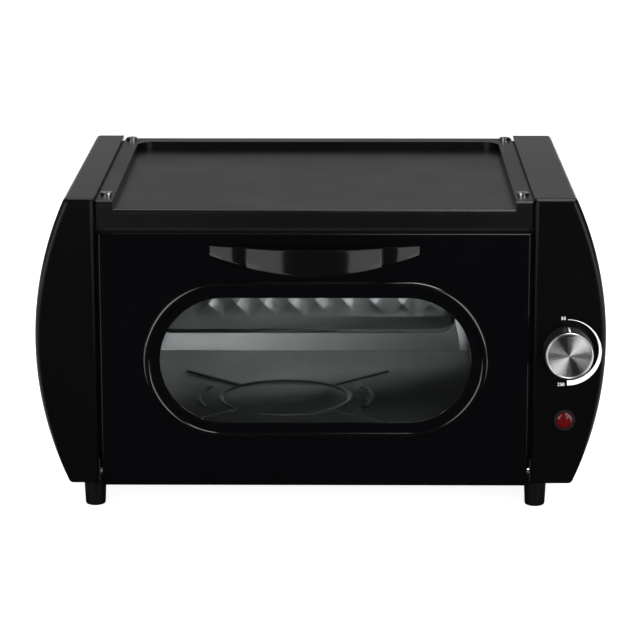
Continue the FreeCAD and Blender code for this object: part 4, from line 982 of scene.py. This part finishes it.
def mathOf(tree, operation, *values):
    node = tree.nodes.new("ShaderNodeMath")
    node.operation = operation
    for socket, value in zip(node.inputs, values):
        if isinstance(value, float):
            socket.default_value = value
        else:
            tree.links.new(value, socket)
    return node.outputs[0]


def addWorld():
    world = bpy.data.worlds.new("studio")
    bpy.context.scene.world = world
    world.use_nodes = True
    tree = world.node_tree
    tree.nodes.clear()
    seen = whiteSky(tree, 1)
    fill = whiteSky(tree, stagePlan["skyFill"])
    mirrored = whiteSky(tree, 1)
    coords = tree.nodes.new("ShaderNodeTexCoord")
    parts = tree.nodes.new("ShaderNodeSeparateXYZ")
    tree.links.new(coords.outputs["Generated"], parts.inputs["Vector"])
    tones = stagePlan["skyFront"], stagePlan["skyBack"]
    sky = rampOver(tree, parts.outputs["Y"], *stagePlan["skyRange"], *tones)
    tree.links.new(sky, mirrored.inputs["Strength"])
    surface = lightPathMix(tree, "Is Glossy Ray", mirrored.outputs[0], fill.outputs[0])
    surface = lightPathMix(tree, "Is Camera Ray", seen.outputs[0], surface)
    output = tree.nodes.new("ShaderNodeOutputWorld")
    tree.links.new(surface, output.inputs["Surface"])


def addFloor():
    plan = stagePlan
    bpy.ops.mesh.primitive_plane_add(size=2 * plan["floorHalf"], location=(0, 0, plan["floorHeight"]))
    floor = bpy.context.object
    floor.name = "studioFloor"
    material = bpy.data.materials.new("studioFloor")
    material.use_nodes = True
    tree = material.node_tree
    tree.nodes.clear()
    paper = tree.nodes.new("ShaderNodeBsdfDiffuse")
    paper.inputs["Color"].default_value = (*[plan["floorGrey"]] * 3, 1)
    glow = tree.nodes.new("ShaderNodeEmission")
    glow.inputs["Strength"].default_value = plan["floorGlow"]
    seen = tree.nodes.new("ShaderNodeAddShader")
    tree.links.new(paper.outputs[0], seen.inputs[0])
    tree.links.new(glow.outputs[0], seen.inputs[1])
    mirrored = tree.nodes.new("ShaderNodeEmission")
    coords = tree.nodes.new("ShaderNodeTexCoord")
    parts = tree.nodes.new("ShaderNodeSeparateXYZ")
    tree.links.new(coords.outputs["Object"], parts.inputs["Vector"])
    aside = mathOf(tree, "ABSOLUTE", parts.outputs["X"])
    narrowed = mathOf(tree, "MULTIPLY_ADD", parts.outputs["Y"], plan["cardSpread"], aside)
    besideCard = rampOver(tree, narrowed, *plan["cardHalf"], 0, 1)
    behind = rampOver(tree, parts.outputs["Y"], *plan["behindRange"], 0, 1)
    lit = mathOf(tree, "MAXIMUM", besideCard, behind)
    sheen = rampOver(tree, lit, 0, 1, plan["cardGlow"], plan["floorSheen"])
    tree.links.new(sheen, mirrored.inputs["Strength"])
    surface = lightPathMix(tree, "Is Glossy Ray", mirrored.outputs[0], paper.outputs[0])
    surface = lightPathMix(tree, "Is Camera Ray", seen.outputs[0], surface)
    output = tree.nodes.new("ShaderNodeOutputMaterial")
    tree.links.new(surface, output.inputs["Surface"])
    floor.data.materials.append(material)


def addStage():
    addWorld()
    addFloor()
    print("stage set")


lampPlan = {
    "top": {"place": (0.1, 0.5, 1.9), "aim": (0, 0.05, 0.2), "size": (1.8, 1.0), "power": 18},
    "key": {"place": (0.5, -0.45, 1.6), "aim": (0.35, -0.4, 0.2), "size": (0.8, 0.8), "power": 14},
    "left": {"place": (-0.93, -1.25, 0.5), "aim": (0, 0, 0.5), "size": (1.0, 1.0), "power": 8.5},
    "right": {"place": (0.93, -1.25, 0.5), "aim": (0, 0, 0.5), "size": (1.0, 1.0), "power": 9},
    "front": {"place": (0, -2.2, 0.48), "aim": (0, 0, 0.1), "size": (1.8, 0.3), "power": 30},
}


def addLamps():
    for name, plan in lampPlan.items():
        data = bpy.data.lights.new(name + "Lamp", "AREA")
        data.shape = "RECTANGLE"
        data.size, data.size_y = plan["size"]
        data.energy = plan["power"]
        lamp = bpy.data.objects.new(name + "Lamp", data)
        bpy.context.scene.collection.objects.link(lamp)
        lamp.location = plan["place"]
        aim = Vector(plan["aim"]) - Vector(plan["place"])
        lamp.rotation_euler = aim.to_track_quat("-Z", "Y").to_euler()
        lamp.visible_camera = False
        lamp.visible_glossy = name != "front"  # the fill lamp only lights, it isn't mirrored
    print("lamps hung")


addCamera()
addStage()
addLamps()
bpy.context.scene.view_settings.view_transform = "Standard"
